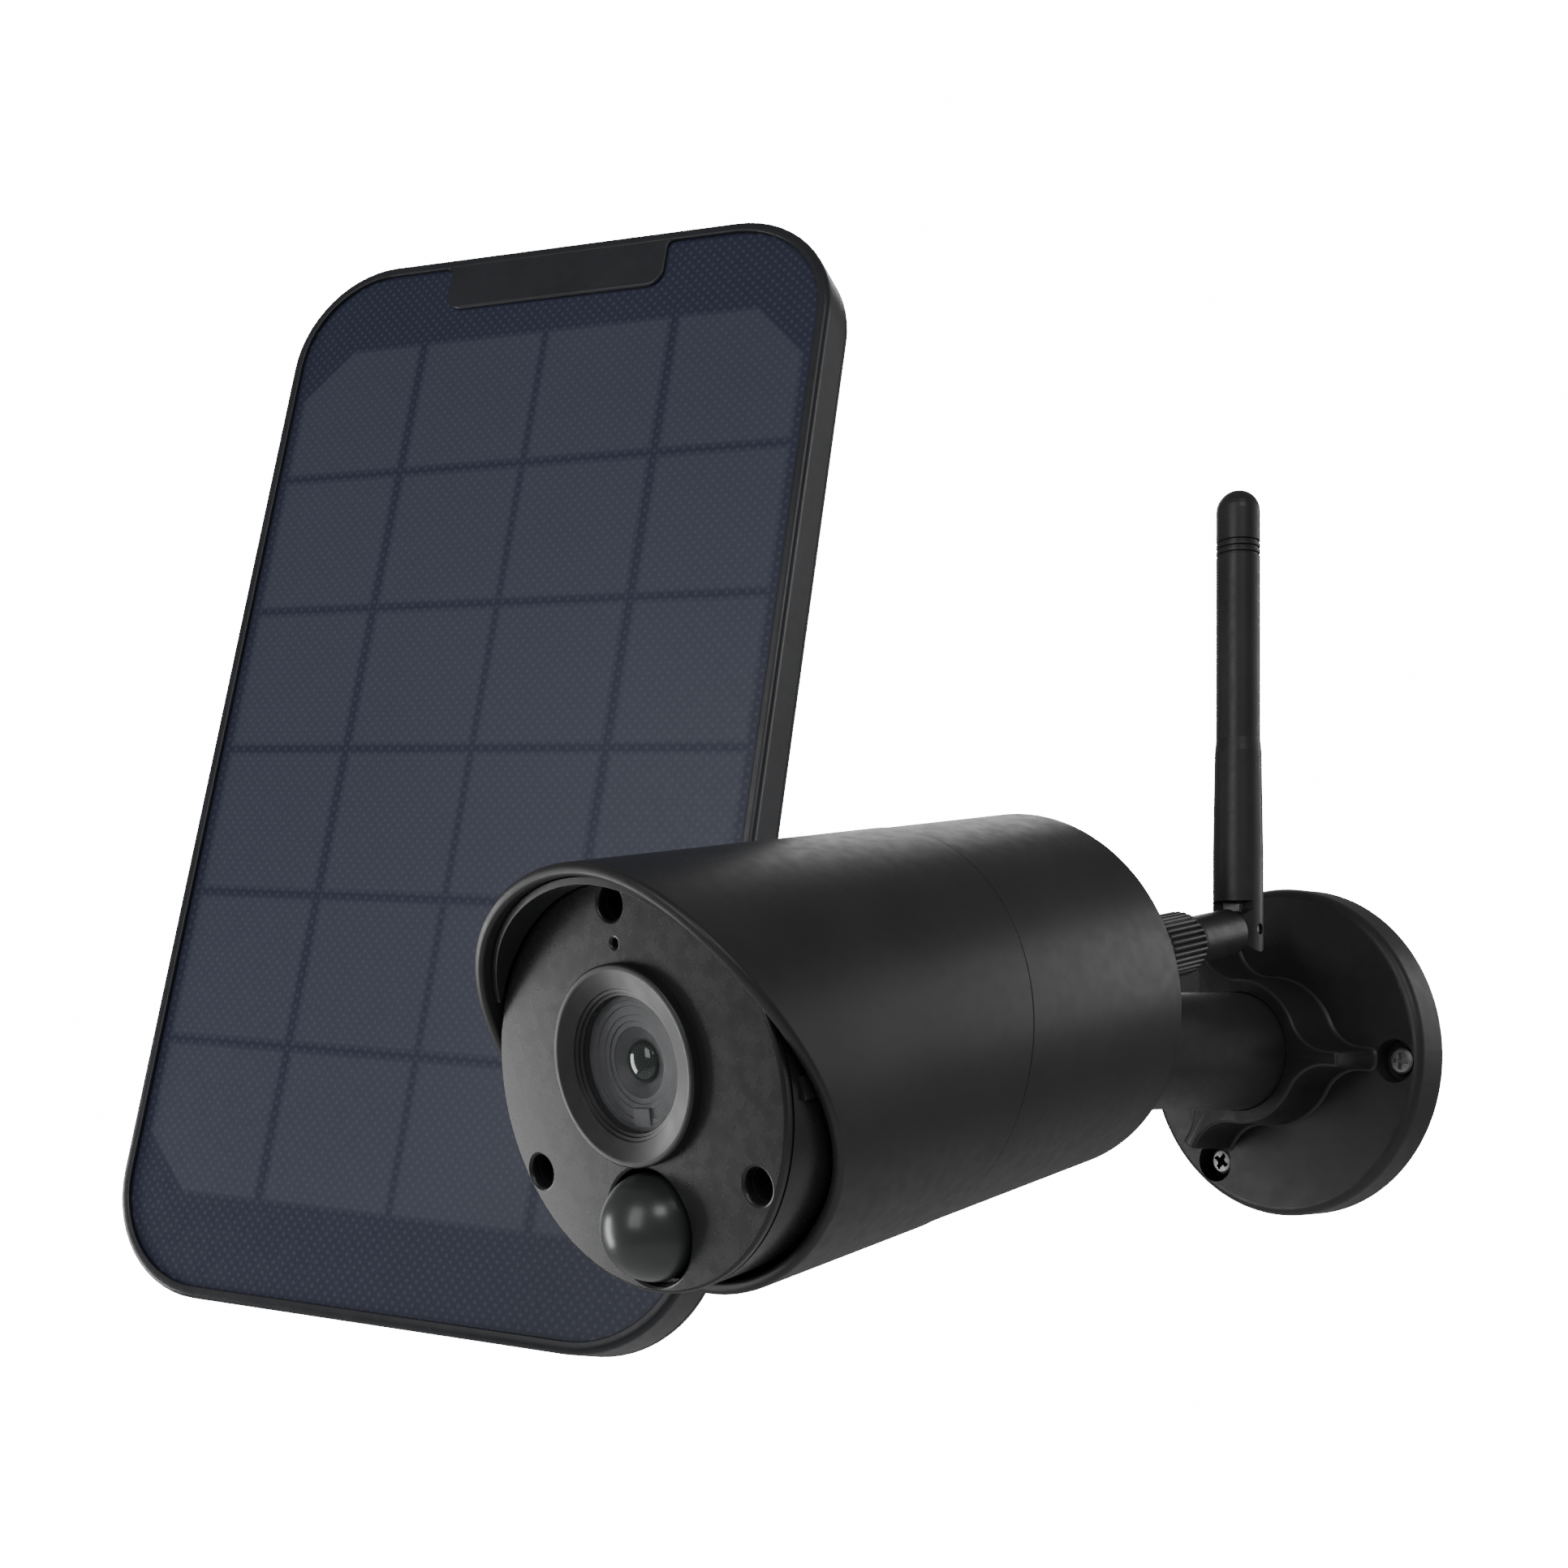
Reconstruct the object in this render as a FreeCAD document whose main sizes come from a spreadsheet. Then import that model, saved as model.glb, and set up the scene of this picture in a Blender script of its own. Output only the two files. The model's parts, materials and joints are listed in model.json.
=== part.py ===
import FreeCAD, Part

# Solar-powered security camera: a tube-shaped camera head on a wall disc, and its solar panel on a
# wall bracket beside it. Millimetres. The wall is the plane y = 0, the front is -Y and up is +Z.
# The origin is the centre of the camera's wall face.
import math
import os
import re
import Sketcher

Vector = FreeCAD.Vector
Placement = FreeCAD.Placement
Rotation = FreeCAD.Rotation
RIGHT = Vector(1, 0, 0)
LEFT = Vector(-1, 0, 0)
BACK = Vector(0, 1, 0)
FRONT = Vector(0, -1, 0)
UP = Vector(0, 0, 1)
DOWN = Vector(0, 0, -1)

SIZES = {
    # wall disc and its lock ring
    "gasket": 0.8, "disc_dia": 67.0, "disc_front": 8.4, "disc_edge": 1.8,
    "disc_screw_circle": 56.0, "disc_screw_turn": -4.0, "disc_hole": 4.4,
    "disc_counterbore": 8.4, "disc_counterbore_depth": 4.2,
    "hub_front": 20.3, "hub_dia": 29.0, "hub_foot_dia": 35.0, "wing_reach": 23.5, "wing_width": 10.0,
    "wing_height": 8.5,
    # neck, fork and knuckle
    "neck_dia": 23.6, "neck_front_dia": 22.6, "neck_taper_end": 42.0, "neck_flange_dia": 27.2,
    "neck_flange_back": 1.4, "neck_flange_thick": 2.2, "neck_bore": 13.0, "neck_bore_end": 66.0,
    "pivot_reach": 85.8, "fork_back": 9.3, "fork_radius": 8.0, "fork_width": 19.0, "fork_slot": 7.2,
    "pin_dia": 4.0, "pin_head_dia": 7.0, "pin_head": 1.8, "fit": 0.05,
    "eye_radius": 7.0, "eye_width": 7.0, "flange_start": 9.2, "flange_thick": 2.3, "flange_dia": 20.0,
    "stub_dia": 10.0, "stub_length": 10.0, "stub_nut_dia": 17.0, "stub_nut_thick": 4.5,
    # camera head, measured from the back plane of its sleeve
    "head_yaw": 9.83, "head_pitch": -9.71, "pivot_inset": 9.0, "pivot_drop": 9.25,
    "sleeve_dia": 65.2, "sleeve_wall": 2.0, "rear_sleeve_step": 0.15, "seam_at": 44.0,
    "seam_slope": 0.2, "seam_gap": 0.25, "hood_top": 104.6, "hood_top_end": 23.0, "hood_side": 88.0,
    "hood_side_end": 12.0, "hood_bottom": 86.8,
    "liner_dia": 60.9, "liner_wall": 1.1, "liner_setback": 1.6, "liner_back": 97.2,
    "face_at": 96.5, "face_dia": 59.4, "face_thick": 1.6, "face_chamfer": 0.5,
    "housing_wall": 1.8, "housing_back": 4.0, "screw_circle": 52.4, "screw_recess": 5.0,
    "boss_dia": 6.0, "boss_length": 12.0,
    "lens_up": 3.2, "lens_ring_dia": 29.2, "lens_ring_height": 1.6, "lens_funnel_dia": 21.0,
    "lens_tail_dia": 21.2, "window_dia": 19.6, "window_thick": 1.0, "window_inset": 0.2,
    "lens_inset": 2.8, "barrel_dia": 14.4, "barrel_front_dia": 10.0,
    "pir_down": 20.2, "pir_dia": 16.0, "pir_height": 6.6, "pir_socket_dia": 17.0, "pir_wall": 0.8,
    "pinhole_up": 20.5,
    "cup_dia": 33.0, "cup_wall": 1.8, "cup_depth": 20.7, "cup_floor": 2.2,
    "cell_dia": 18.2, "cell_length": 65.0, "cell_offset": 17.5, "cell_up": 5.0, "cell_back": 26.0,
    "bay_width": 24.0, "bay_height": 8.0, "bay_up": 17.0, "bay_depth": 10.0,
    # antenna
    "socket_side": 23.8, "socket_up": 5.9, "thread_dia": 6.2, "socket_boss_dia": 12.4,
    "nut_start": 2.6, "nut_end": 17.5, "nut_dia": 11.6, "elbow_dia": 8.6,
    "fold_at": 37.0, "fold_pin": 2.0, "fold_radius": 4.2, "fold_tongue": 3.8, "rod_dia": 8.1,
    "rod_foot_dia": 9.2, "rod_length": 83.7,
    "rod_lean": 1.3,
    # solar panel, measured from its front centre
    "panel_x": -112.1, "panel_y": -135.2, "panel_z": 65.8, "panel_yaw": 31.43, "panel_pitch": 10.53,
    "panel_roll": 3.88, "panel_width": 140.0, "panel_height": 246.0, "panel_thick": 13.0,
    "panel_corner": 25.0, "lip": 2.6, "film_depth": 0.9, "film_thick": 1.0, "tab_width": 57.0,
    "tab_drop": 11.0, "cell_width": 31.6, "cell_height": 32.8, "cell_rise": 34.0, "cell_thick": 0.3,
    "inner_column": 16.3, "outer_column": 49.6, "cell_corner": 12.0, "back_thick": 2.0,
    # panel bracket
    "tilt_reach": 33.0, "pan_reach": 24.0, "plate_x": -216.0, "plate_width": 44.0,
    "plate_height": 74.0, "plate_thick": 4.0, "plate_corner": 8.0, "plate_hole": 5.0,
    "plate_hole_rise": 54.0, "swing_reach": 17.0, "arm_dia": 15.0, "tongue": 10.0, "ear_gap": 10.4,
    "ear_thick": 3.8, "ear_dia": 18.0, "bolt_dia": 6.0, "bolt_head_dia": 10.0, "tilt_eye": 8.0,
    "tilt_fork": 18.0, "tilt_fork_slot": 8.4, "tilt_flange_dia": 24.0, "tilt_flange": 2.6,
    "roll_stub_dia": 10.0, "knob_dia": 19.0, "knob_thick": 9.0,
}

os.makedirs("parts", exist_ok=True)
doc = FreeCAD.newDocument("security_camera")
sheet = doc.addObject("Spreadsheet::Sheet", "Sizes")
for row, (alias, value) in enumerate(SIZES.items(), start=1):
    sheet.set(f"A{row}", alias)
    sheet.set(f"B{row}", str(value))
    sheet.setAlias(f"B{row}", alias)
doc.recompute()


class S:
    """The sheet's values by name."""


for alias in SIZES:
    setattr(S, alias, float(sheet.get(alias)))

NODES = []


def bind(item, prop, formula):
    """Ties a property to the sheet. A formula's words are the sheet's aliases."""
    item.setExpression(prop, re.sub(r"[a-z_]\w*", lambda word: "Sizes." + word.group(0), formula))


def new(kind, label):
    return doc.addObject(kind, label)


def along(start, direction):
    return Placement(Vector(start), Rotation(UP, direction))


def rod(radius, length, start, direction):
    """A cylinder from start along direction; radius and length are formulas of the sheet."""
    made = new("Part::Cylinder", "Rod")
    bind(made, "Radius", radius)
    bind(made, "Height", length)
    made.Placement = along(start, direction)
    return made


def block(size, centre):
    """A box about its centre; size is three formulas of the sheet."""
    made = new("Part::Box", "Block")
    for prop, formula in zip(("Length", "Width", "Height"), size):
        bind(made, prop, formula)
    doc.recompute()
    half = Vector(made.Length.Value, made.Width.Value, made.Height.Value) / 2
    made.Placement = Placement(Vector(centre) - half, Rotation())
    return made


def lathe(points, start, direction):
    """A turned solid. Points are (radius, distance along the axis), in order round the section."""
    section = new("Sketcher::SketchObject", "Section")
    ring = points[1:] + points[:1]
    for (radius, reach), (next_radius, next_reach) in zip(points, ring):
        section.addGeometry(Part.LineSegment(Vector(radius, reach, 0), Vector(next_radius, next_reach, 0)))
    turned = new("Part::Revolution", "Turned")
    turned.Source = section
    turned.Axis = BACK
    turned.Angle = 360
    turned.Solid = True
    turned.Placement = Placement(Vector(start), Rotation(BACK, direction))
    return turned


def fuse(*shapes):
    joined = new("Part::MultiFuse", "Joined")
    joined.Shapes = list(shapes)
    return joined


def cut(base, *tools):
    left = new("Part::Cut", "Cut")
    left.Base = base
    left.Tool = tools[0] if len(tools) == 1 else fuse(*tools)
    return left


def common(*shapes):
    shared = new("Part::MultiCommon", "Common")
    shared.Shapes = list(shapes)
    return shared


def prism(points, depth, centre_x=0):
    """A solid across X with a side outline of (y, z) points."""
    outline = new("Part::Polygon", "Outline")
    outline.Nodes = [Vector(centre_x - depth / 2, y, z) for y, z in points]
    outline.Close = True
    solid = new("Part::Extrusion", "Prism")
    solid.Base = outline
    solid.Dir = RIGHT * depth
    solid.Solid = True
    return solid


def moved(item, place):
    """Places a finished shape: place comes on top of where it already is."""
    item.Placement = place.multiply(item.Placement)
    return item


def node(label, item, place=Placement()):
    """Names a finished sub-part and sets it in the assembly."""
    item.Label = label
    moved(item, place)
    NODES.append(item)
    return item


def ring_points(diameter, turns):
    """Points (x, z) on a circle seen from the front, at angles up from the right."""
    for turn in turns:
        angle = math.radians(turn)
        yield diameter / 2 * math.cos(angle), diameter / 2 * math.sin(angle)


def screw(head_radius, head, shank_radius, shank, at, direction, plain=0):
    """A pan-head cross-slot screw with its head's underside at the given point.

    Its shank is plain and a little thinner for the given length under the head.
    """
    profile = [(0, -head), (head_radius * 0.7, -head), (head_radius, -head * 0.5), (head_radius, 0)]
    if plain:
        profile += [(shank_radius - 0.2, 0), (shank_radius - 0.2, plain)]
    profile += [(shank_radius, plain), (shank_radius, shank), (0, shank + shank_radius)]
    turned = lathe(profile, at, direction)
    slots = []
    for turn in (0, 90):
        slot = new("Part::Box", "Slot")
        slot.Length = head_radius * 1.2
        slot.Width = head_radius * 0.28
        slot.Height = head * 0.6
        corner = Placement(Vector(-head_radius * 0.6, -head_radius * 0.14, -head * 1.1), Rotation())
        turned_by = Placement(Vector(), Rotation(UP, turn))
        slot.Placement = along(at, direction).multiply(turned_by).multiply(corner)
        slots.append(slot)
    return cut(turned, *slots)


# PartDesign bodies: flat parts padded along their own +Z.


def sketch_on(body, lift=0.0):
    sketch = body.newObject("Sketcher::SketchObject", "Sketch")
    plane = next(f for f in body.Origin.OriginFeatures if f.Role == "XY_Plane")
    sketch.AttachmentSupport = [(plane, "")]
    sketch.MapMode = "FlatFace"
    sketch.AttachmentOffset = Placement(Vector(0, 0, lift), Rotation())
    return sketch


def add_circle(sketch, radius, centre=(0, 0)):
    """A circle whose radius is a formula of the sheet."""
    index = sketch.addGeometry(Part.Circle(Vector(centre[0], centre[1], 0), UP, 1.0))
    size = sketch.addConstraint(Sketcher.Constraint("Radius", index, 1.0))
    bind(sketch, f"Constraints[{size}]", radius)
    sketch.addConstraint(Sketcher.Constraint("DistanceX", -1, 1, index, 3, centre[0]))
    sketch.addConstraint(Sketcher.Constraint("DistanceY", -1, 1, index, 3, centre[1]))


def add_rounded_rectangle(sketch, width, height, corner, sizes):
    """A centred rounded rectangle: formulas first, then their three present values."""
    across, rise, radius = sizes
    x, y = across / 2, rise / 2
    lines = []
    arcs = []
    ends = [((radius - x, -y), (x - radius, -y)), ((x, radius - y), (x, y - radius)),
            ((x - radius, y), (radius - x, y)), ((-x, y - radius), (-x, radius - y))]
    centres = [(x - radius, radius - y), (x - radius, y - radius),
               (radius - x, y - radius), (radius - x, radius - y)]
    for index, (start, end) in enumerate(ends):
        lines.append(sketch.addGeometry(Part.LineSegment(Vector(*start, 0), Vector(*end, 0))))
        circle = Part.Circle(Vector(*centres[index], 0), UP, radius)
        turn = math.radians(90 * index - 90)
        arcs.append(sketch.addGeometry(Part.ArcOfCircle(circle, turn, turn + math.radians(90))))
    for index in range(4):
        following = lines[(index + 1) % 4]
        sketch.addConstraint(Sketcher.Constraint("Tangent", lines[index], 2, arcs[index], 1))
        sketch.addConstraint(Sketcher.Constraint("Tangent", arcs[index], 2, following, 1))
    for arc in arcs[1:]:
        sketch.addConstraint(Sketcher.Constraint("Equal", arcs[0], arc))
    sketch.addConstraint(Sketcher.Constraint("Horizontal", lines[0]))
    sketch.addConstraint(Sketcher.Constraint("Vertical", lines[1]))
    sketch.addConstraint(Sketcher.Constraint("Horizontal", lines[2]))
    sketch.addConstraint(Sketcher.Constraint("Symmetric", lines[0], 1, lines[2], 1, -1, 1))
    wide = sketch.addConstraint(Sketcher.Constraint("DistanceX", lines[3], 1, lines[1], 2, across))
    tall = sketch.addConstraint(Sketcher.Constraint("DistanceY", lines[0], 1, lines[2], 2, rise))
    bend = sketch.addConstraint(Sketcher.Constraint("Radius", arcs[0], radius))
    bind(sketch, f"Constraints[{wide}]", width)
    bind(sketch, f"Constraints[{tall}]", height)
    bind(sketch, f"Constraints[{bend}]", corner)


def pad(body, sketch, length):
    padded = body.newObject("PartDesign::Pad", "Pad")
    padded.Profile = sketch
    bind(padded, "Length", length)
    sketch.Visibility = False
    doc.recompute()
    return padded


def pocket(body, sketch, depth, upward=False):
    """Cuts the sketch into the body, downward from its lift or upward from the foot."""
    before = body.Shape.Volume
    sunk = body.newObject("PartDesign::Pocket", "Pocket")
    sunk.Profile = sketch
    sunk.Reversed = upward
    bind(sunk, "Length", depth)
    sketch.Visibility = False
    doc.recompute()
    if body.Shape.Volume > before - 1e-3:
        raise RuntimeError(f"{body.Label}: a pocket cut nothing")
    return sunk


def soften(body, feature, radius, pick, kind="PartDesign::Fillet"):
    """Rounds or bevels the edges that pick() chooses."""
    doc.recompute()
    names = [f"Edge{i}" for i, edge in enumerate(feature.Shape.Edges, start=1) if pick(edge)]
    softened = body.newObject(kind, "Softened")
    softened.Base = (feature, names)
    bind(softened, "Radius" if kind.endswith("Fillet") else "Size", radius)
    doc.recompute()
    return softened


def on_level(height):
    """Picks the outline edges that lie in the plane z = height."""
    def pick(edge):
        return abs(edge.BoundBox.ZMin - height) < 1e-4 and abs(edge.BoundBox.ZMax - height) < 1e-4
    return pick


# Where each moving group stands. Every group is drawn about its own joint or face.


def aim(yaw, pitch, roll=0.0):
    """Turns the front direction to the right by yaw and up by pitch, then rolls about it."""
    return (Rotation(UP, yaw).multiply(Rotation(RIGHT, -pitch))).multiply(Rotation(BACK, roll))


PIVOT = Vector(0, -S.pivot_reach, 0)
HEAD_TURN = aim(S.head_yaw, S.head_pitch)
HEAD = Placement(PIVOT, HEAD_TURN).multiply(Placement(Vector(0, S.pivot_inset, S.pivot_drop), Rotation()))
HEAD_BACK = HEAD_TURN.multVec(BACK)
PIN_AXIS = BACK.cross(HEAD_BACK).normalize()
FORK = Placement(PIVOT, Rotation(PIN_AXIS, BACK, PIN_AXIS.cross(BACK), "XYZ"))
KNUCKLE = Placement(PIVOT, Rotation(PIN_AXIS, HEAD_BACK, PIN_AXIS.cross(HEAD_BACK), "XYZ"))
WALL = Placement(Vector(0, -S.gasket, 0), Rotation(UP, FRONT))
ANTENNA_PIVOT = Vector(S.socket_side, S.fold_at, S.socket_up)
FOLD_CENTRE = HEAD.multVec(ANTENNA_PIVOT)
ROD_AXIS = Vector(math.sin(math.radians(S.rod_lean)), 0, math.cos(math.radians(S.rod_lean)))
PANEL = Placement(Vector(S.panel_x, S.panel_y, S.panel_z), aim(S.panel_yaw, S.panel_pitch, S.panel_roll))
TILT_POINT = PANEL.multVec(Vector(0, S.tilt_reach, 0))
TILT_BLOCK = Placement(TILT_POINT, aim(S.panel_yaw, S.panel_pitch))
ELBOW = Placement(TILT_POINT, aim(S.panel_yaw, 0))
PAN_POINT = ELBOW.multVec(Vector(0, S.pan_reach, 0))
BRACKET_FOOT = Vector(S.plate_x, 0, PAN_POINT.z)
SWING_POINT = BRACKET_FOOT + FRONT * S.swing_reach
ARM_RUN = PAN_POINT - SWING_POINT
ARM = Placement(SWING_POINT, Rotation(FRONT, ARM_RUN))


def wall_disc():
    body = new("PartDesign::Body", "wall_disc")
    outline = sketch_on(body)
    add_circle(outline, "disc_dia / 2")
    plate = pad(body, outline, "disc_front - gasket")
    soften(body, plate, "disc_edge", on_level(S.disc_front - S.gasket))
    front = S.disc_front - S.gasket
    bore = sketch_on(body, front)
    add_circle(bore, "neck_dia / 2 + fit")
    pocket(body, bore, "disc_front")
    nest = sketch_on(body)
    add_circle(nest, "neck_flange_dia / 2 + 0.3")
    pocket(body, nest, "neck_flange_back + neck_flange_thick - gasket + 0.2", upward=True)
    centres = [wall_point(x, z) for x, z in ring_points(S.disc_screw_circle, disc_turns())]
    holes = sketch_on(body, front)
    sinks = sketch_on(body, front)
    for centre in centres:
        add_circle(holes, "disc_hole / 2", centre)
        add_circle(sinks, "disc_counterbore / 2", centre)
    pocket(body, holes, "disc_front")
    pocket(body, sinks, "disc_counterbore_depth")
    node("wall_disc", body, WALL)


def wall_point(x, z):
    """A point of the wall in a padded wall part's own plane."""
    local = WALL.Rotation.inverted().multVec(Vector(x, 0, z))
    return local.x, local.y


def wall_fixing():
    gasket = cut(rod("disc_dia / 2 - 1.5", "gasket", (0, 0, 0), FRONT),
                 *[rod("disc_hole / 2", "gasket", (x, 0, z), FRONT)
                   for x, z in ring_points(S.disc_screw_circle, disc_turns())])
    node("wall_gasket", gasket)
    seat = S.disc_front - S.disc_counterbore_depth
    screws = [screw(3.6, 2.4, 1.9, 24.0, (x, -seat, z), BACK, seat + 0.4)
              for x, z in ring_points(S.disc_screw_circle, disc_turns())]
    node("wall_screws", fuse(*screws))


def disc_turns():
    return [S.disc_screw_turn + 120 * i for i in range(3)]


def lock_ring():
    """The three-winged ring that clamps the neck where it leaves the disc."""
    foot = -S.disc_front - 0.15
    height = S.hub_front - S.disc_front - 0.15
    hub = lathe([(0, 0), (S.hub_foot_dia / 2, 0), (S.hub_foot_dia / 2 - 1.2, height * 0.45),
                 (S.hub_dia / 2, height - 1.2), (S.hub_dia / 2 - 1.2, height), (0, height)],
                (0, foot, 0), FRONT)
    wings = []
    for turn in disc_turns():
        reach = S.wing_reach - S.wing_width / 2
        arm = block(("wing_reach - wing_width / 2", "wing_height", "wing_width"), (reach / 2, 0, 0))
        tip = rod("wing_width / 2", "wing_height", (reach, S.wing_height / 2, 0), FRONT)
        spot = Placement(Vector(0, foot - S.wing_height / 2, 0), Rotation(FRONT, turn))
        wings.append(moved(fuse(arm, tip), spot))
    bore = rod("neck_dia / 2 + 2 * fit", "hub_front", (0, foot + 1, 0), FRONT)
    node("lock_ring", cut(fuse(hub, *wings), bore))


def neck():
    """The hollow neck from the disc to its forked end."""
    back = S.neck_flange_back
    shoulder = S.pivot_reach - S.fork_back
    flange_front = back + S.neck_flange_thick
    tube = lathe([(S.neck_bore / 2, back), (S.neck_flange_dia / 2, back),
                  (S.neck_flange_dia / 2, flange_front), (S.neck_dia / 2, flange_front),
                  (S.neck_dia / 2, S.hub_front + 2), (S.neck_front_dia / 2, S.neck_taper_end),
                  (S.neck_front_dia / 2, shoulder - 1), (S.neck_front_dia / 2 - 1, shoulder),
                  (0, shoulder), (0, S.neck_bore_end), (S.neck_bore / 2, S.neck_bore_end)],
                 (0, 0, 0), FRONT)
    cheek_bar = block(("fork_width", "fork_back + 1", "2 * fork_radius"), (0, (S.fork_back + 1) / 2, 0))
    cheek_end = rod("fork_radius", "fork_width", (-S.fork_width / 2, 0, 0), RIGHT)
    slot = block(("fork_slot", "fork_back + fork_radius + 2", "2 * fork_radius + 2"),
                 (0, (S.fork_back - S.fork_radius - 2) / 2, 0))
    hole = rod("pin_dia / 2", "fork_width + 2", (-S.fork_width / 2 - 1, 0, 0), RIGHT)
    fork = moved(cut(fuse(cheek_bar, cheek_end), slot, hole), FORK)
    round_stock = rod("neck_front_dia / 2", "pivot_reach + fork_radius", (0, 0, 0), FRONT)
    node("neck", fuse(tube, common(fork, round_stock)))
    half = S.fork_width / 2
    pin = fuse(rod("pin_dia / 2", "fork_width + 1.6", (-half, 0, 0), RIGHT),
               rod("pin_head_dia / 2", "pin_head / 2", (-half, 0, 0), LEFT))
    node("tilt_pin", pin, FORK)
    nut = cut(rod("pin_head_dia / 2", "pin_head", (half, 0, 0), RIGHT),
              rod("pin_dia / 2", "pin_head + 2", (half - 1, 0, 0), RIGHT))
    node("tilt_nut", nut, FORK)


def knuckle():
    """The block that tilts in the fork, with the stub that the head rolls on."""
    web_length = S.flange_start + S.flange_thick / 2
    eye = rod("eye_radius", "eye_width", (-S.eye_width / 2, 0, 0), RIGHT)
    web = block(("eye_width", "flange_start + flange_thick / 2", "1.6 * eye_radius"),
                (0, -web_length / 2, 0))
    flange = rod("flange_dia / 2", "flange_thick", (0, -S.flange_start, 0), FRONT)
    stub = rod("stub_dia / 2", "flange_thick + stub_length", (0, -S.flange_start, 0), FRONT)
    hole = rod("pin_dia / 2 + fit", "eye_width + 2", (-S.eye_width / 2 - 1, 0, 0), RIGHT)
    node("knuckle_block", cut(fuse(eye, web, flange, stub), hole), KNUCKLE)
    start = -S.cup_depth - S.cup_floor + S.pivot_inset - 0.1
    nut = cut(rod("stub_nut_dia / 2", "stub_nut_thick", (0, start, 0), FRONT),
              rod("stub_dia / 2", "stub_nut_thick + 2", (0, start + 1, 0), FRONT))
    node("stub_nut", nut, KNUCKLE)


def slab(front, back, slope=0.0, reach=200.0):
    """A wide solid between two heights of y, each leaning by slope with z."""
    side = reach / 2
    return prism([(front - slope * side, -side), (back - slope * side, -side),
                  (back + slope * side, side), (front + slope * side, side)], reach)


def hood_trim(setback=0.0, inset=0.0):
    """The space in front of the sleeve's slanted mouth."""
    side = 100.0
    top = -S.hood_top + setback
    return prism([(-side * 2, side), (top, side), (top, S.hood_top_end - inset),
                  (-S.hood_side + setback, -S.hood_side_end - inset),
                  (-S.hood_bottom + setback, -S.sleeve_dia / 2), (-S.hood_bottom + setback, -side),
                  (-side * 2, -side)], side * 2)


def sleeves():
    tube = cut(rod("sleeve_dia / 2", "120", (0, 0, 0), FRONT),
               rod("sleeve_dia / 2 - sleeve_wall", "122", (0, 1, 0), FRONT))
    front = cut(tube, hood_trim(), slab(-S.seam_at - S.seam_gap / 2, 100, S.seam_slope))
    node("front_sleeve", front, HEAD)
    shell = cut(rod("sleeve_dia / 2 - rear_sleeve_step", "120", (0, 0, 0), FRONT),
                rod("sleeve_dia / 2 - sleeve_wall", "122", (0, 1, 0), FRONT))
    rear = cut(shell, slab(-200, -S.seam_at + S.seam_gap / 2, S.seam_slope))
    node("rear_sleeve", rear, HEAD)
    ring = cut(rod("liner_dia / 2", "120", (0, 0, 0), FRONT),
               rod("liner_dia / 2 - liner_wall", "122", (0, 1, 0), FRONT))
    liner = cut(ring, hood_trim(S.liner_setback, 1.5), slab(-S.liner_back, 100))
    node("hood_liner", liner, HEAD)


def face_turns():
    return [90 + 120 * i for i in range(3)]


def face():
    """The face plate with its lens, sensor, microphone and screw openings."""
    radius = S.face_dia / 2
    plate = lathe([(0, 0), (radius, 0), (radius, S.face_thick - S.face_chamfer),
                   (radius - S.face_chamfer, S.face_thick), (0, S.face_thick)],
                  (0, -S.face_at + S.face_thick, 0), FRONT)
    behind = -S.face_at + S.face_thick + 1
    through = "face_thick + 2"
    holes = [rod("lens_tail_dia / 2", through, (0, behind, S.lens_up), FRONT),
             rod("pir_socket_dia / 2", through, (0, behind, -S.pir_down), FRONT),
             rod("0.6", through, (0, behind, S.pinhole_up), FRONT)]
    holes += [rod("screw_recess / 2", through, (x, behind, z), FRONT)
              for x, z in ring_points(S.screw_circle, face_turns())]
    node("face_plate", cut(plate, *holes), HEAD)
    screws = [screw(1.95, 1.4, 0.95, 7.0, (x, -S.face_at + 4.0, z), BACK)
              for x, z in ring_points(S.screw_circle, face_turns())]
    node("face_screws", fuse(*screws), HEAD)


def housing():
    front = -S.face_at + S.face_thick
    shell = cut(rod("face_dia / 2", "face_at - face_thick - housing_back", (0, front, 0), BACK),
                rod("face_dia / 2 - housing_wall", "face_at", (0, front - 1, 0), BACK))
    bosses = common(fuse(*[rod("boss_dia / 2", "boss_length", (x, front, z), BACK)
                           for x, z in ring_points(S.screw_circle, face_turns())]),
                    rod("face_dia / 2 - 0.5", "boss_length", (0, front, 0), BACK))
    recesses = []
    for x, z in ring_points(S.screw_circle, face_turns()):
        recesses.append(rod("screw_recess / 2 - 0.2", "2.4", (x, front, z), BACK))
        recesses.append(rod("0.95", "boss_length - 1.5", (x, front, z), BACK))
    node("inner_housing", cut(fuse(shell, bosses), *recesses), HEAD)
    clip = block(("1.2", "5", "3.2"), (S.face_dia / 2, -S.face_at + 5.5, -0.4))
    cutter = rod("face_dia / 2", "face_at", (0, 0, 0), FRONT)
    node("clip_tab", cut(clip, cutter), HEAD)


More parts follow.
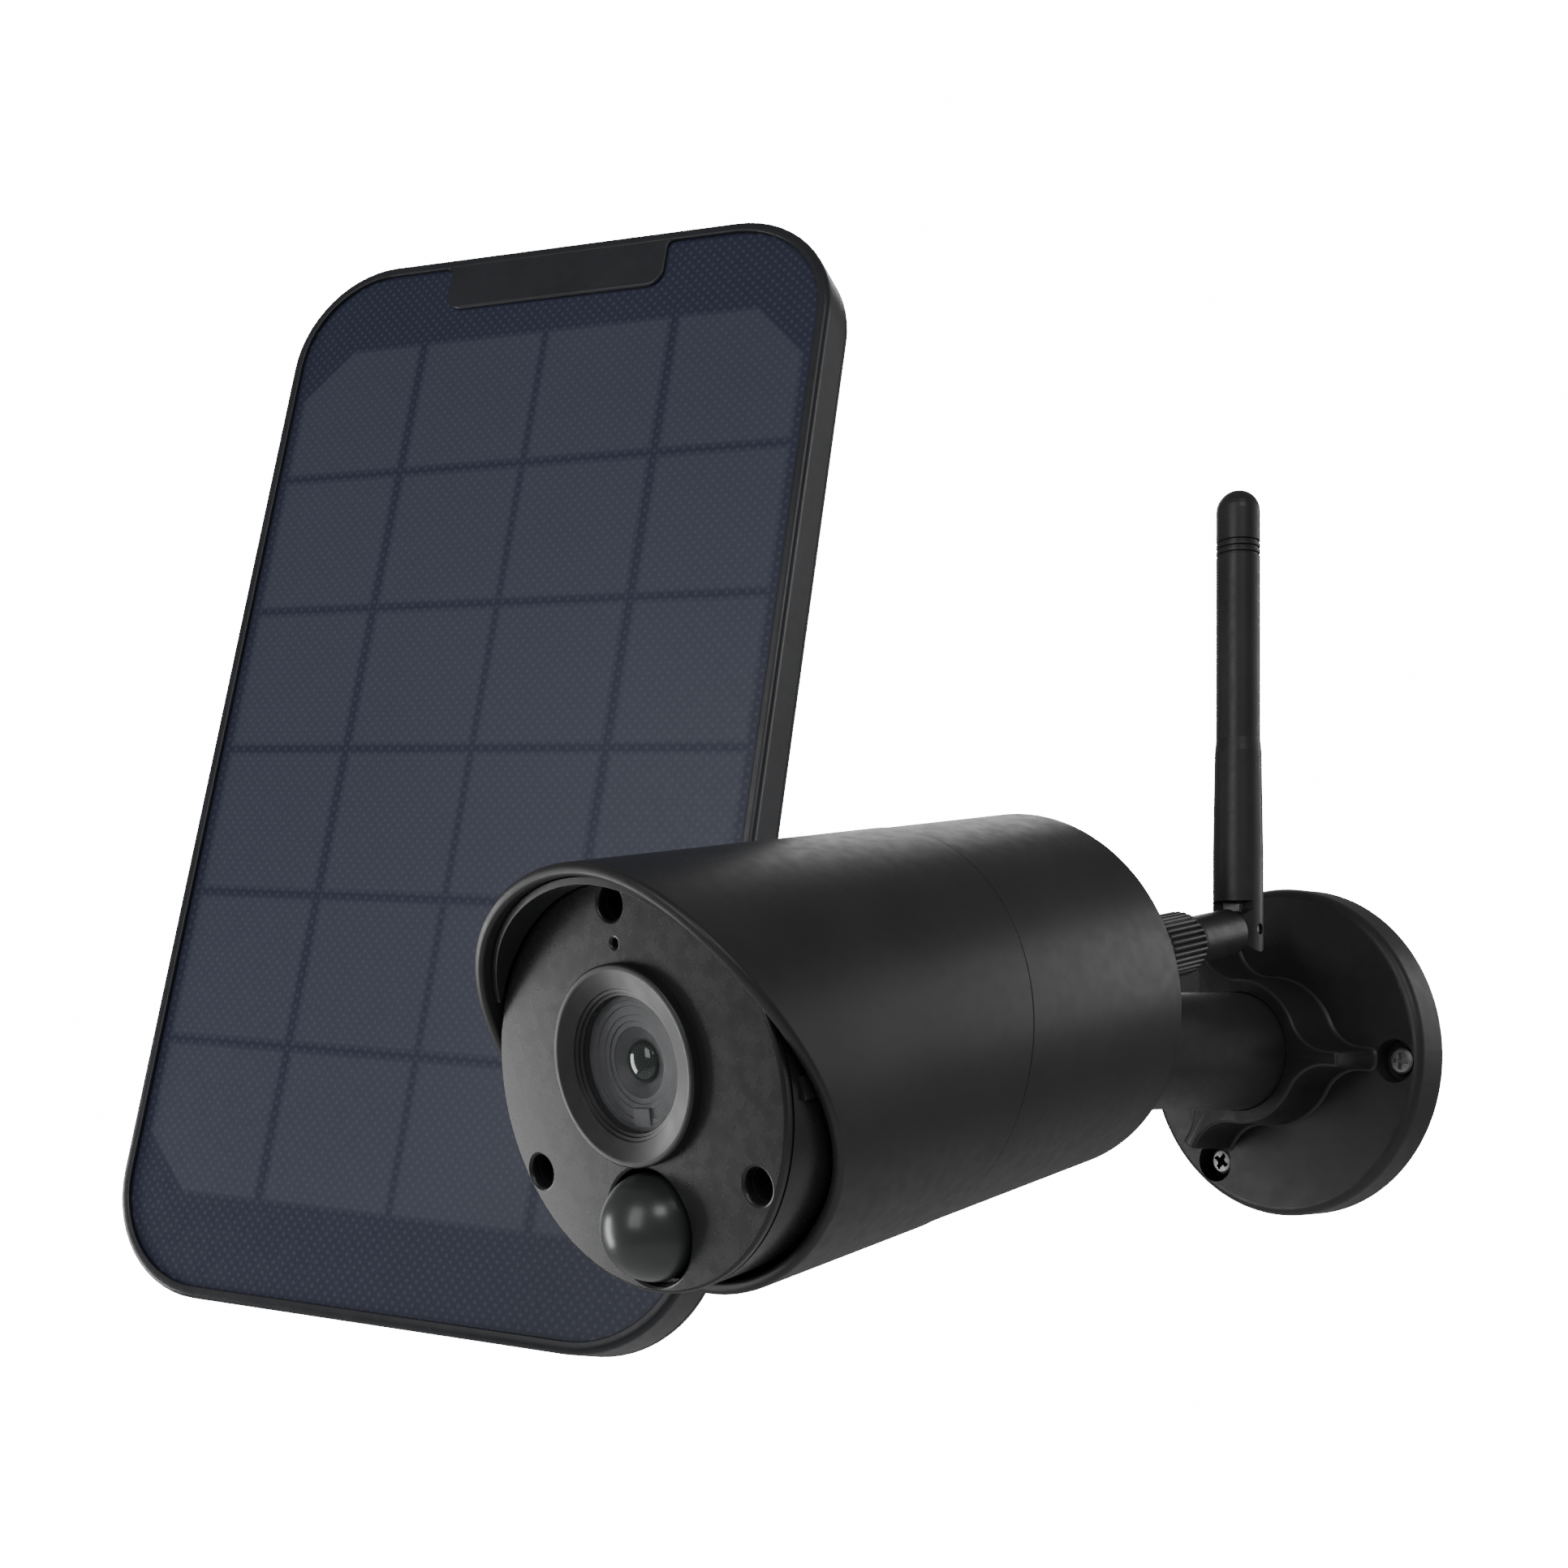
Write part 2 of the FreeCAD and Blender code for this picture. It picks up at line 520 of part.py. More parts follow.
def lens():
    """The funnel-shaped ring, its window, and the lens barrel, lamps and image sensor behind it."""
    tall, tail, bore = S.lens_ring_height, S.lens_tail_dia / 2 - S.fit, S.window_dia / 2 + S.fit
    seat = -S.window_inset - S.window_thick
    ring = lathe([(bore - 0.9, seat - 1), (tail, seat - 1), (tail, 0), (S.lens_ring_dia / 2, 0),
                  (S.lens_ring_dia / 2, tall - 0.3), (S.lens_ring_dia / 2 - 0.3, tall),
                  (S.lens_funnel_dia / 2, tall - 0.6), (bore, tall - 0.9), (bore, seat),
                  (bore - 0.9, seat)], (0, -S.face_at, S.lens_up), FRONT)
    node("lens_ring", ring, HEAD)
    window = rod("window_dia / 2", "window_thick", (0, -S.face_at - seat, S.lens_up), FRONT)
    node("lens_window", window, HEAD)
    level = -S.face_at + S.lens_inset
    front, wide = S.barrel_front_dia / 2, S.barrel_dia / 2
    barrel = lathe([(3.4, 0), (front, 0), (front, -4.5), (wide, -4.5), (wide, -17), (3.4, -17),
                    (3.4, -3), (3.8, -2.4), (3.8, -0.6)], (0, level, S.lens_up), FRONT)
    node("lens_barrel", barrel, HEAD)
    element = lathe([(0, -2.3), (3.7, -2.3), (3.7, -0.7), (2.0, -0.1), (0, 0.15)],
                    (0, level, S.lens_up), FRONT)
    node("lens_element", element, HEAD)
    board = cut(rod("window_dia / 2 - 0.6", "0.9", (0, level + 0.3, S.lens_up), FRONT),
                rod("barrel_front_dia / 2 + 0.3", "3", (0, level + 1, S.lens_up), FRONT))
    lamps = []
    for x, z in ring_points(S.window_dia - 5.0, range(0, 360, 60)):
        lamps.append(rod("0.9", "0.75", (x, level - 0.5, z + S.lens_up), FRONT))
    node("ir_lamp_board", fuse(board, *lamps), HEAD)
    back = level + 17.1
    sensor = fuse(block(("15.4", "1.2", "22"), (0, back + 0.6, S.lens_up)),
                  block(("4.6", "0.7", "4.6"), (0, back - 0.35, S.lens_up)),
                  block(("9", "1.4", "5"), (0, back + 1.8, S.lens_up - 5)))
    node("image_sensor", sensor, HEAD)


def senses():
    """Motion-sensor dome and cell, microphone and speaker."""
    rise, half = S.pir_height, S.pir_dia / 2 - 0.15
    bulge = (half * half + rise * rise) / (2 * rise)
    centre = -S.face_at - rise + bulge
    outer = new("Part::Sphere", "Ball")
    outer.Radius = bulge
    outer.Placement.Base = Vector(0, centre, -S.pir_down)
    inner = new("Part::Sphere", "Ball")
    inner.Radius = bulge - S.pir_wall
    inner.Placement.Base = Vector(0, centre, -S.pir_down)
    cap = common(outer, rod("pir_dia / 2", "pir_height + 1", (0, -S.face_at, -S.pir_down), FRONT))
    behind = (0, -S.face_at + S.face_thick + 1, -S.pir_down)
    rim = common(rod("pir_socket_dia / 2 + 0.4", "1", behind, FRONT),
                 rod("face_dia / 2 - housing_wall - 0.05", "face_at", (0, 0, 0), FRONT))
    skirt = fuse(rod("pir_dia / 2 - 0.15", "face_thick", (0, -S.face_at + S.face_thick, -S.pir_down),
                     FRONT), rim)
    hollow = rod("pir_dia / 2 - 0.15 - pir_wall", "face_thick + 2",
                 (0, -S.face_at + S.face_thick + 1.2, -S.pir_down), FRONT)
    inner_cap = common(inner, rod("pir_dia / 2 - 1", "pir_height + 1",
                                  (0, -S.face_at + 0.3, -S.pir_down), FRONT))
    node("motion_dome", cut(fuse(cap, skirt), hollow, inner_cap), HEAD)
    can = fuse(rod("4.1", "3.6", (0, -S.face_at + 6, -S.pir_down), FRONT),
               rod("4.6", "0.6", (0, -S.face_at + 6, -S.pir_down), FRONT),
               block(("14", "1.2", "9"), (0, -S.face_at + 6.6, -S.pir_down)))
    node("motion_sensor", can, HEAD)
    capsule = rod("2", "1.6", (0, -S.face_at + S.face_thick, S.pinhole_up), BACK)
    node("microphone", capsule, HEAD)
    speaker = fuse(rod("8.5", "2", (0, -52, -23.2), UP), rod("5", "2", (0, -52, -21.2), UP))
    node("speaker", speaker, HEAD)


def power():
    """Two cylindrical cells, the cradle between them and the main board below."""
    cells = []
    for name, side in (("battery_left", -1), ("battery_right", 1)):
        start = (side * S.cell_offset, -S.cell_back, S.cell_up)
        cell = fuse(rod("cell_dia / 2", "cell_length - 1", start, FRONT),
                    rod("3", "cell_length", start, FRONT))
        cells.append(node(name, cell, HEAD))
    bed = block(("2 * cell_offset - 3", "42", "15"), (0, -50, S.cell_up + 0.5))
    gaps = [rod("cell_dia / 2 + 0.1", "cell_length + 20",
                (side * S.cell_offset, -S.cell_back + 10, S.cell_up), FRONT) for side in (-1, 1)]
    node("battery_cradle", cut(bed, *gaps), HEAD)
    level = -S.pivot_drop + 0.2
    board = fuse(block(("46", "46", "1.6"), (0, -60, level)),
                 block(("12", "12", "1.4"), (6, -62, level - 1.5)),
                 block(("8", "8", "1.2"), (-12, -68, level - 1.4)),
                 block(("14", "9", "2"), (-9, -47, level - 1.8)))
    node("main_board", board, HEAD)


def rear_cover():
    """The cover in the sleeve's back, with the knuckle's cup, the port bay and the antenna boss."""
    flange = rod("sleeve_dia / 2 - sleeve_wall - 0.05", "housing_back - 1", (0, 0, 0), FRONT)
    skirt = cut(rod("face_dia / 2 - housing_wall - fit", "14", (0, 0, 0), FRONT),
                rod("face_dia / 2 - housing_wall - fit - 1.4", "16", (0, -2, 0), FRONT))
    cup = rod("cup_dia / 2 + cup_wall", "cup_depth + cup_floor", (0, 0, -S.pivot_drop), FRONT)
    bay = block(("bay_width + 3", "bay_depth + 1.5", "bay_height + 3"),
                (0, -(S.bay_depth + 1.5) / 2, S.bay_up))
    boss = rod("socket_boss_dia / 2", "nut_start - 1.5", (S.socket_side, 0, S.socket_up), BACK)
    corners = rear_screw_points()
    posts = [rod("2.9", "9", (x, 0, z), FRONT) for x, z in corners]
    inside = rod("face_dia / 2 - housing_wall - fit", "60", (0, 0, 0), FRONT)
    solid = fuse(flange, common(fuse(skirt, cup, bay, *posts), inside))
    lever = rod("cup_dia / 2", "cup_depth + 1", (0, 1, -S.pivot_drop), FRONT)
    stub_hole = rod("stub_dia / 2 + fit", "60", (0, 1, -S.pivot_drop), FRONT)
    bay_hole = block(("bay_width", "bay_depth + 2", "bay_height"), (0, -S.bay_depth / 2 + 1, S.bay_up))
    socket_hole = rod("thread_dia / 2 + 0.02", "40", (S.socket_side, 20, S.socket_up), FRONT)
    screw_holes = [rod("1.1", "12", (x, 1, z), FRONT) for x, z in corners]
    sinks = [rod("2.2", "3", (x, 1, z), FRONT) for x, z in corners]
    ports = [block(("9.4", "6", "3.6"), (-6, -S.bay_depth - 1, S.bay_up)),
             rod("1.3", "6", (4, -S.bay_depth + 1, S.bay_up), FRONT)]
    cover = cut(fuse(solid, boss), lever, stub_hole, bay_hole, socket_hole, *screw_holes, *sinks, *ports)
    node("rear_cover", cover, HEAD)
    screws = [screw(2.0, 1.5, 1.1, 6.0, (x, -2.0, z), FRONT) for x, z in corners]
    node("rear_screws", fuse(*screws), HEAD)
    seal = cut(rod("face_dia / 2 - 0.2", "1", (0, -S.housing_back + 1, 0), FRONT),
               rod("face_dia / 2 - housing_wall + 0.1", "3", (0, -S.housing_back + 2, 0), FRONT))
    node("rear_seal", seal, HEAD)


def rear_screw_points():
    return [(-19.5, 16.5), (19.5, 16.5), (-22.6, -9.0), (22.6, -9.0)]


def ports():
    """Charging socket, reset button and the rubber flap over their bay."""
    shell = cut(block(("9.0", "7", "3.2"), (-6, -S.bay_depth - 2.4, S.bay_up)),
                block(("8.2", "6", "2.4"), (-6, -S.bay_depth - 1.5, S.bay_up)))
    tongue = block(("6.6", "5", "0.7"), (-6, -S.bay_depth - 3, S.bay_up))
    node("charging_socket", fuse(shell, tongue), HEAD)
    stem = fuse(rod("1.25", "3.4", (4, -S.bay_depth + 1.1, S.bay_up), FRONT),
                rod("1.8", "0.8", (4, -S.bay_depth - 1.6, S.bay_up), FRONT))
    node("reset_button", stem, HEAD)
    foot = S.bay_up - S.bay_height / 2 + 0.2
    hinge = S.bay_up + S.bay_height / 2 - 1.0
    lid = block(("bay_width - 0.4", "1.6", f"{hinge - foot}"), (0, -0.75, (foot + hinge) / 2))
    roll = rod("0.8", "bay_width - 0.4", (-S.bay_width / 2 + 0.2, -0.75, hinge), RIGHT)
    lug = block(("6", "0.9", "2.4"), (0, 0.35, foot + 1.4))
    node("port_flap", fuse(lid, roll, lug), HEAD)


def antenna():
    """Socket, knurled nut, swivelling elbow and folding rod."""
    base = (S.socket_side, 0, S.socket_up)
    flange, end, step = S.nut_start - 1.5, S.nut_start + 6.5, S.nut_start + 10.5
    socket = cut(fuse(rod("thread_dia / 2", "nut_start + 13.5", (S.socket_side, -7, S.socket_up), BACK),
                      rod("4.6", "1.3", (S.socket_side, flange, S.socket_up), BACK)),
                 rod("1.0", "4", (S.socket_side, end, S.socket_up), FRONT))
    node("antenna_socket", socket, HEAD)
    nut = lathe([(S.thread_dia / 2 + 0.06, S.nut_start), (S.nut_dia / 2 - 0.5, S.nut_start),
                 (S.nut_dia / 2, S.nut_start + 0.6), (S.nut_dia / 2, S.nut_end - 1.2),
                 (S.nut_dia / 2 - 1.2, S.nut_end), (3.2, S.nut_end), (3.2, step),
                 (S.thread_dia / 2 + 0.06, step)], base, BACK)
    node("antenna_nut", nut, HEAD)
    stem = rod("3.1", "5", (S.socket_side, step - 0.4, S.socket_up), BACK)
    drum = rod("elbow_dia / 2", "fold_at - fold_radius - nut_end - 0.3",
               (S.socket_side, S.nut_end + 0.2, S.socket_up), BACK)
    turn = Placement(ANTENNA_PIVOT, fold_turn())
    tongue = fuse(block(("fold_tongue", "fold_radius + 2", "7"), (0, -(S.fold_radius + 2) / 2, 0)),
                  rod("3.5", "fold_tongue", (-S.fold_tongue / 2, 0, 0), RIGHT))
    hole = rod("fold_pin / 2", "14", (-7, 0, 0), RIGHT)
    elbow = cut(fuse(stem, drum, moved(tongue, turn)), moved(hole, turn))
    node("antenna_elbow", elbow, HEAD)
    pin = rod("fold_pin / 2", "elbow_dia - 0.4", (-S.elbow_dia / 2 + 0.2, 0, 0), RIGHT)
    node("antenna_pin", pin, HEAD.multiply(turn))
    node("antenna_rod", antenna_rod(), Placement(FOLD_CENTRE, rod_turn()))


def antenna_rod():
    """The rod about its fold: a domed, grooved whip over a forked foot."""
    length, foot, tip = S.rod_length, S.rod_foot_dia / 2, S.rod_dia / 2
    fork_top = 5.2
    dome = []
    for step in range(1, 9):
        angle = math.radians(90 * step / 8)
        dome.append((tip * math.cos(angle), length - tip * (1 - math.sin(angle))))
    grooves = []
    for level in (length - 12.6, length - 11.4, length - 10.2):
        grooves += [(tip, level - 0.3), (tip - 0.35, level - 0.15),
                    (tip - 0.35, level + 0.15), (tip, level + 0.3)]
    whip = lathe([(0, fork_top), (foot, fork_top), (foot, 14.6), (tip + 0.25, 33.5), (tip, 36.0),
                  *grooves, (tip, length - tip), *dome], (0, 0, 0), UP)
    fork = common(rod("rod_foot_dia / 2", f"{fork_top} + fold_radius", (0, 0, -S.fold_radius), UP),
                  fuse(rod("fold_radius", "rod_foot_dia + 2", (-foot - 1, 0, 0), RIGHT),
                       block(("rod_foot_dia + 2", "rod_foot_dia / 2 + 2", f"{fork_top}"),
                             (0, foot / 2 - 1, fork_top / 2))))
    slot = block(("fold_tongue + 0.2", "rod_foot_dia + 2", f"{fork_top} + fold_radius + 1"),
                 (0, 0, (fork_top - S.fold_radius - 1) / 2))
    pin_hole = rod("fold_pin / 2 + fit", "rod_foot_dia + 2", (-foot - 1, 0, 0), RIGHT)
    return fuse(whip, cut(fork, slot, pin_hole))


def fold_axis():
    """The fold pin is square to the socket's axis and to the rod."""
    return HEAD_BACK.cross(ROD_AXIS).normalize()


def fold_turn():
    """The elbow's own frame in the head's: X is the fold pin and Y the socket's axis."""
    pin = HEAD_TURN.inverted().multVec(fold_axis())
    return Rotation(pin, BACK, pin.cross(BACK), "XYZ")


def rod_turn():
    pin = fold_axis()
    return Rotation(pin, ROD_AXIS.cross(pin), ROD_AXIS, "XYZ")


def panel_place(lift):
    """A padded panel part's own +Z is the panel's front."""
    turn = Rotation(RIGHT, UP.cross(RIGHT) * -1, FRONT, "XZY")
    return PANEL.multiply(Placement(Vector(0, lift, 0), turn))


def panel_frame():
    body = new("PartDesign::Body", "panel_tray")
    outer = (S.panel_width, S.panel_height, S.panel_corner)
    outline = sketch_on(body)
    add_rounded_rectangle(outline, "panel_width", "panel_height", "panel_corner", outer)
    thick = S.panel_thick - S.back_thick
    slab_pad = pad(body, outline, "panel_thick - back_thick")
    soften(body, slab_pad, "1.6", on_level(thick))
    inner = [S.panel_width - 2 * S.lip, S.panel_height - 2 * S.lip, S.panel_corner - S.lip]
    tray = sketch_on(body, thick)
    add_rounded_rectangle(tray, "panel_width - 2 * lip", "panel_height - 2 * lip",
                          "panel_corner - lip", inner)
    pocket(body, tray, "film_depth + film_thick + 2 * cell_thick")
    hollow = sketch_on(body)
    cavity = [S.panel_width - 4 * S.lip, S.panel_height - 4 * S.lip, S.panel_corner - 2 * S.lip]
    add_rounded_rectangle(hollow, "panel_width - 4 * lip", "panel_height - 4 * lip",
                          "panel_corner - 2 * lip", cavity)
    pocket(body, hollow, "panel_thick - back_thick - film_depth - film_thick - 2 * cell_thick - 1.6",
           upward=True)
    place = panel_place(thick)
    moved(body, place)
    top = S.panel_height / 2 - S.lip
    tab_size = ("tab_width", "film_depth - 0.1", "tab_drop - 4 + 1")
    y = (S.film_depth - 0.1) / 2 + 0.05
    tab = fuse(block(tab_size, (0, y, top + 1 - (S.tab_drop - 3) / 2)),
               block(("tab_width - 8", "film_depth - 0.1", "5"), (0, y, top - S.tab_drop + 2.5)),
               *[rod("4", "film_depth - 0.1", (side * (S.tab_width / 2 - 4), y - (S.film_depth - 0.1) / 2,
                                                top - S.tab_drop + 4), BACK) for side in (-1, 1)])
    node("panel_frame", cut(fuse(body, moved(tab, PANEL)), *panel_screw_holes()))


def panel_screw_points():
    side = S.panel_width / 2 - 4.2
    return [(x, z) for x in (-side, side) for z in (-96, -32, 32, 96)]


def panel_screw_holes():
    return [moved(rod("1.0", "7", (x, S.panel_thick + 1, z), FRONT), PANEL)
            for x, z in panel_screw_points()]


def panel_layers():
    """The textured front film, the strings of cells and the closing back."""
    inner = (S.panel_width - 2 * S.lip - 0.1, S.panel_height - 2 * S.lip - 0.1,
             S.panel_corner - S.lip - 0.05)
    body = new("PartDesign::Body", "panel_film")
    outline = sketch_on(body)
    add_rounded_rectangle(outline, "panel_width - 2 * lip - 0.1", "panel_height - 2 * lip - 0.1",
                          "panel_corner - lip - 0.05", inner)
    pad(body, outline, "film_thick")
    node("panel_film", body, panel_place(S.film_depth + S.film_thick))
    level = S.film_depth + S.film_thick + S.cell_thick / 2
    columns = (-S.outer_column, -S.inner_column, S.inner_column, S.outer_column)
    for index, column in enumerate(columns, start=1):
        rows = [S.cell_rise * (step - 2.5) for step in range(6)]
        cells = [block(("cell_width", "cell_thick", "cell_height"), (column, level, rise)) for rise in rows]
        ribbon = block(("1.6", "cell_thick", "5 * cell_rise"), (column, level, 0))
        string = fuse(*cells, ribbon)
        if abs(column) == S.outer_column:
            string = cut(string, *[cell_corner_cutter(column, level, side * rows[-1]) for side in (-1, 1)])
        node(f"cell_string_{index}", string, PANEL)
    back = new("PartDesign::Body", "panel_lid")
    outline = sketch_on(back)
    add_rounded_rectangle(outline, "panel_width", "panel_height", "panel_corner",
                          (S.panel_width, S.panel_height, S.panel_corner))
    plate = pad(back, outline, "back_thick")
    soften(back, plate, "1.2", on_level(0))
    raised = moved(back, panel_place(S.panel_thick))
    boss = rod("13", "5", (0, S.panel_thick - 0.5, 0), BACK)
    seat = rod("5 + fit", "12", (0, S.panel_thick - 3, 0), BACK)
    pod = block(("34", "8.2", "26"), (0, S.panel_thick + 3.6, -62))
    joined = moved(cut(fuse(boss, pod), rod("3.1", "6", (0, S.panel_thick + 4.0, -71), DOWN)), PANEL)
    node("panel_back", cut(fuse(raised, joined), moved(seat, PANEL), *panel_screw_holes()))
    board = fuse(block(("28", "1.4", "20"), (0, S.panel_thick - 3.2, -62)),
                 block(("8", "2", "6"), (-5, S.panel_thick - 4.8, -60)))
    node("regulator_board", board, PANEL)
    inlet = cut(fuse(rod("3.1", "5", (0, S.panel_thick + 4.0, -71), DOWN),
                     rod("3.9", "3", (0, S.panel_thick + 4.0, -75), DOWN)),
                rod("1.8", "5", (0, S.panel_thick + 4.0, -74.5), DOWN))
    node("cable_inlet", inlet, PANEL)
    screws = [screw(2.6, 1.2, 1.0, 4.0, (x, S.panel_thick, z), FRONT) for x, z in panel_screw_points()]
    node("panel_screws", fuse(*screws), PANEL)


def cell_corner_cutter(column, level, rise):
    """A diamond over the outer corner of the sheet's corner cell."""
    cutter = block(("1.4142 * cell_corner", "4 * cell_thick", "1.4142 * cell_corner"), (0, 0, 0))
    corner = Vector(column + math.copysign(S.cell_width / 2, column), level,
                    rise + math.copysign(S.cell_height / 2, rise))
    return moved(cutter, Placement(corner, Rotation(BACK, 45)))


def ears(place):
    """Two level plates round an upright bolt at the origin, reaching back along +Y."""
    plates = []
    for side in (-1, 1):
        level = side * (S.ear_gap + S.ear_thick) / 2
        plates.append(rod("ear_dia / 2", "ear_thick", (0, 0, level - S.ear_thick / 2), UP))
        plates.append(block(("ear_dia", "swing_reach - plate_thick", "ear_thick"),
                            (0, (S.swing_reach - S.plate_thick) / 2, level)))
    return moved(fuse(*plates), place)


def upright_bolt(label, place):
    """A bolt through a pair of ears, with its head on top and its nut below."""
    half = S.ear_gap / 2 + S.ear_thick
    bolt = fuse(rod("bolt_dia / 2", "ear_gap + 2 * ear_thick + 1", (0, 0, -half - 0.5), UP),
                rod("bolt_head_dia / 2", "2.4", (0, 0, half), UP),
                rod("bolt_head_dia / 2", "2.4", (0, 0, -half), DOWN))
    node(label, bolt, place)


def bracket():
    """Wall plate, swing arm, pan elbow, tilt block and clamp knob of the panel."""
    body = new("PartDesign::Body", "bracket_foot")
    outline = sketch_on(body)
    add_rounded_rectangle(outline, "plate_width", "plate_height", "plate_corner",
                          (S.plate_width, S.plate_height, S.plate_corner))
    plate = pad(body, outline, "plate_thick")
    soften(body, plate, "1.2", on_level(S.plate_thick))
    holes = sketch_on(body, S.plate_thick)
    for side in (-1, 1):
        add_circle(holes, "plate_hole / 2", (0, side * S.plate_hole_rise / 2))
    pocket(body, holes, "plate_thick + 1")
    moved(body, Placement(BRACKET_FOOT, Rotation(RIGHT, UP, RIGHT.cross(UP), "XYZ")))
    swing = Placement(SWING_POINT, Rotation())
    through = rod("bolt_dia / 2", "40", (0, 0, -20), UP)
    node("bracket_plate", cut(fuse(body, ears(swing)), moved(through, swing)))
    x, z = BRACKET_FOOT.x, BRACKET_FOOT.z
    screws = [screw(4.4, 2.8, 2.4, 28.0, (x, -S.plate_thick, z + side * S.plate_hole_rise / 2),
                    BACK, S.plate_thick + 0.4) for side in (-1, 1)]
    node("bracket_screws", fuse(*screws))
    upright_bolt("swing_bolt", swing)
    swing_arm()
    pan_elbow()
    tilt_parts()


def swing_arm():
    """The arm: a tongue at the wall, a round tube and a pair of ears at the panel."""
    span = ARM_RUN.Length
    tongue = fuse(rod("ear_dia / 2", "tongue", (0, 0, -S.tongue / 2), UP),
                  block(("ear_dia", "swing_reach", "tongue"), (0, -S.swing_reach / 2, 0)))
    start = S.swing_reach - 3
    tube = new("Part::Cylinder", "Rod")
    bind(tube, "Radius", "arm_dia / 2")
    tube.Height = span - start - S.swing_reach + S.plate_thick + 3
    tube.Placement = along((0, -start, 0), FRONT)
    cheek = rod("ear_dia / 2 + 1", "5", (0, -span + S.swing_reach - S.plate_thick - 0.5, 0), BACK)
    far = Placement(Vector(0, -span, 0), Rotation())
    bores = [rod("bolt_dia / 2 + fit", "40", (0, 0, -20), UP),
             rod("bolt_dia / 2", "40", (0, -span, -20), UP)]
    node("swing_arm", cut(fuse(tongue, tube, cheek, ears(far)), *bores), ARM)
    upright_bolt("pan_bolt", ARM.multiply(far))


def pan_elbow():
    """The elbow pans on the arm's bolt and holds the tilt block in its fork."""
    eye = rod("ear_dia / 2 - 0.5", "tongue", (0, S.pan_reach, -S.tongue / 2), UP)
    neck_bar = block(("tongue", "pan_reach - 9", "tongue"), (0, S.pan_reach / 2 + 4.1, 0))
    bar = block(("tilt_fork", "5", "2 * tilt_eye"), (0, 10.6, 0))
    cheeks = fuse(block(("tilt_fork", "10", "2 * tilt_eye"), (0, 5, 0)),
                  rod("tilt_eye", "tilt_fork", (-S.tilt_fork / 2, 0, 0), RIGHT))
    slot = block(("tilt_fork_slot", "20", "30"), (0, -1.4, 0))
    bolt_bore = rod("bolt_dia / 2 + fit", "40", (0, S.pan_reach, -20), UP)
    pin_bore = rod("bolt_dia / 4", "40", (-20, 0, 0), RIGHT)
    node("pan_elbow", cut(fuse(eye, neck_bar, bar, cut(cheeks, slot)), bolt_bore, pin_bore), ELBOW)


def tilt_parts():
    """The tilt block with the stub that the panel rolls on, and the clamp knob on its bolt."""
    front = S.tilt_reach - S.panel_thick - 4.5
    eye = rod("tilt_eye - 0.6", "tongue - 2", (-S.tongue / 2 + 1, 0, 0), RIGHT)
    web = block(("tongue - 2", "tilt_reach - panel_thick - 6", "11"), (0, -(front - 1.5) / 2, 0))
    flange = rod("tilt_flange_dia / 2", "tilt_flange", (0, -front, 0), BACK)
    stub = rod("roll_stub_dia / 2", "7.4", (0, -front + 0.1, 0), FRONT)
    bore = rod("bolt_dia / 4 + fit", "40", (-20, 0, 0), RIGHT)
    node("tilt_block", cut(fuse(eye, web, flange, stub), bore), TILT_BLOCK)
    half = S.tilt_fork / 2
    bolt = fuse(rod("bolt_dia / 4", "tilt_fork + 2.6", (-half - 0.3, 0, 0), RIGHT),
                rod("bolt_head_dia / 2 - 1", "2", (-half, 0, 0), LEFT))
    node("tilt_bolt", bolt, ELBOW)
    knob = rod("knob_dia / 2", "knob_thick", (half + 0.1, 0, 0), RIGHT)
    flutes = [rod("2.2", "knob_thick + 2", (half - 1, x, z), RIGHT)
              for x, z in ring_points(S.knob_dia + 1.6, range(0, 360, 60))]
    bore = rod("bolt_dia / 4 + fit", "3.2", (half, 0, 0), RIGHT)
    node("clamp_knob", cut(knob, *flutes, bore), ELBOW)


def finish():
    doc.recompute()
    for item in NODES:
        if "Invalid" in item.State or "Error" in item.State:
            raise RuntimeError(f"{item.Label}: {item.State}")
        if item.Shape.isNull() or not item.Shape.isValid():
            raise RuntimeError(f"{item.Label}: bad shape")
        item.Shape.exportStep(f"parts/{item.Label}.step")


wall_disc()
wall_fixing()
lock_ring()
neck()
knuckle()
sleeves()
face()
housing()
lens()
senses()
power()
rear_cover()
ports()
antenna()
panel_frame()
panel_layers()
bracket()
finish()
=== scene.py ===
import json
import math
import bmesh
import bpy
from mathutils import Matrix, Vector


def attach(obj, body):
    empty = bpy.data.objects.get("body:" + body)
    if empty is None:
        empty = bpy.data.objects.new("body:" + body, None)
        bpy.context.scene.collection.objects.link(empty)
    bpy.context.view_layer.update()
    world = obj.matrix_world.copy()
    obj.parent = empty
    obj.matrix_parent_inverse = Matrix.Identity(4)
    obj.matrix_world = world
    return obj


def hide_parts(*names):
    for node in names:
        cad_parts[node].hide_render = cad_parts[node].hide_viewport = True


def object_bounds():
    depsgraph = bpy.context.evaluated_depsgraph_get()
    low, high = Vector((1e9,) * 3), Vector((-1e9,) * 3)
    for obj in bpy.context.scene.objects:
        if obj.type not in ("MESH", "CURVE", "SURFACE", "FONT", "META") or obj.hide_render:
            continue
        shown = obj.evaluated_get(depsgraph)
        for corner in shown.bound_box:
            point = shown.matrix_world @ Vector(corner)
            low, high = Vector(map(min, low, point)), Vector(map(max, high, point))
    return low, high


# The looks of a solar-powered security camera and its panel, around the CAD frame.
# Lengths are in metres. The wall is the plane y = 0, the front is -Y and up is +Z.

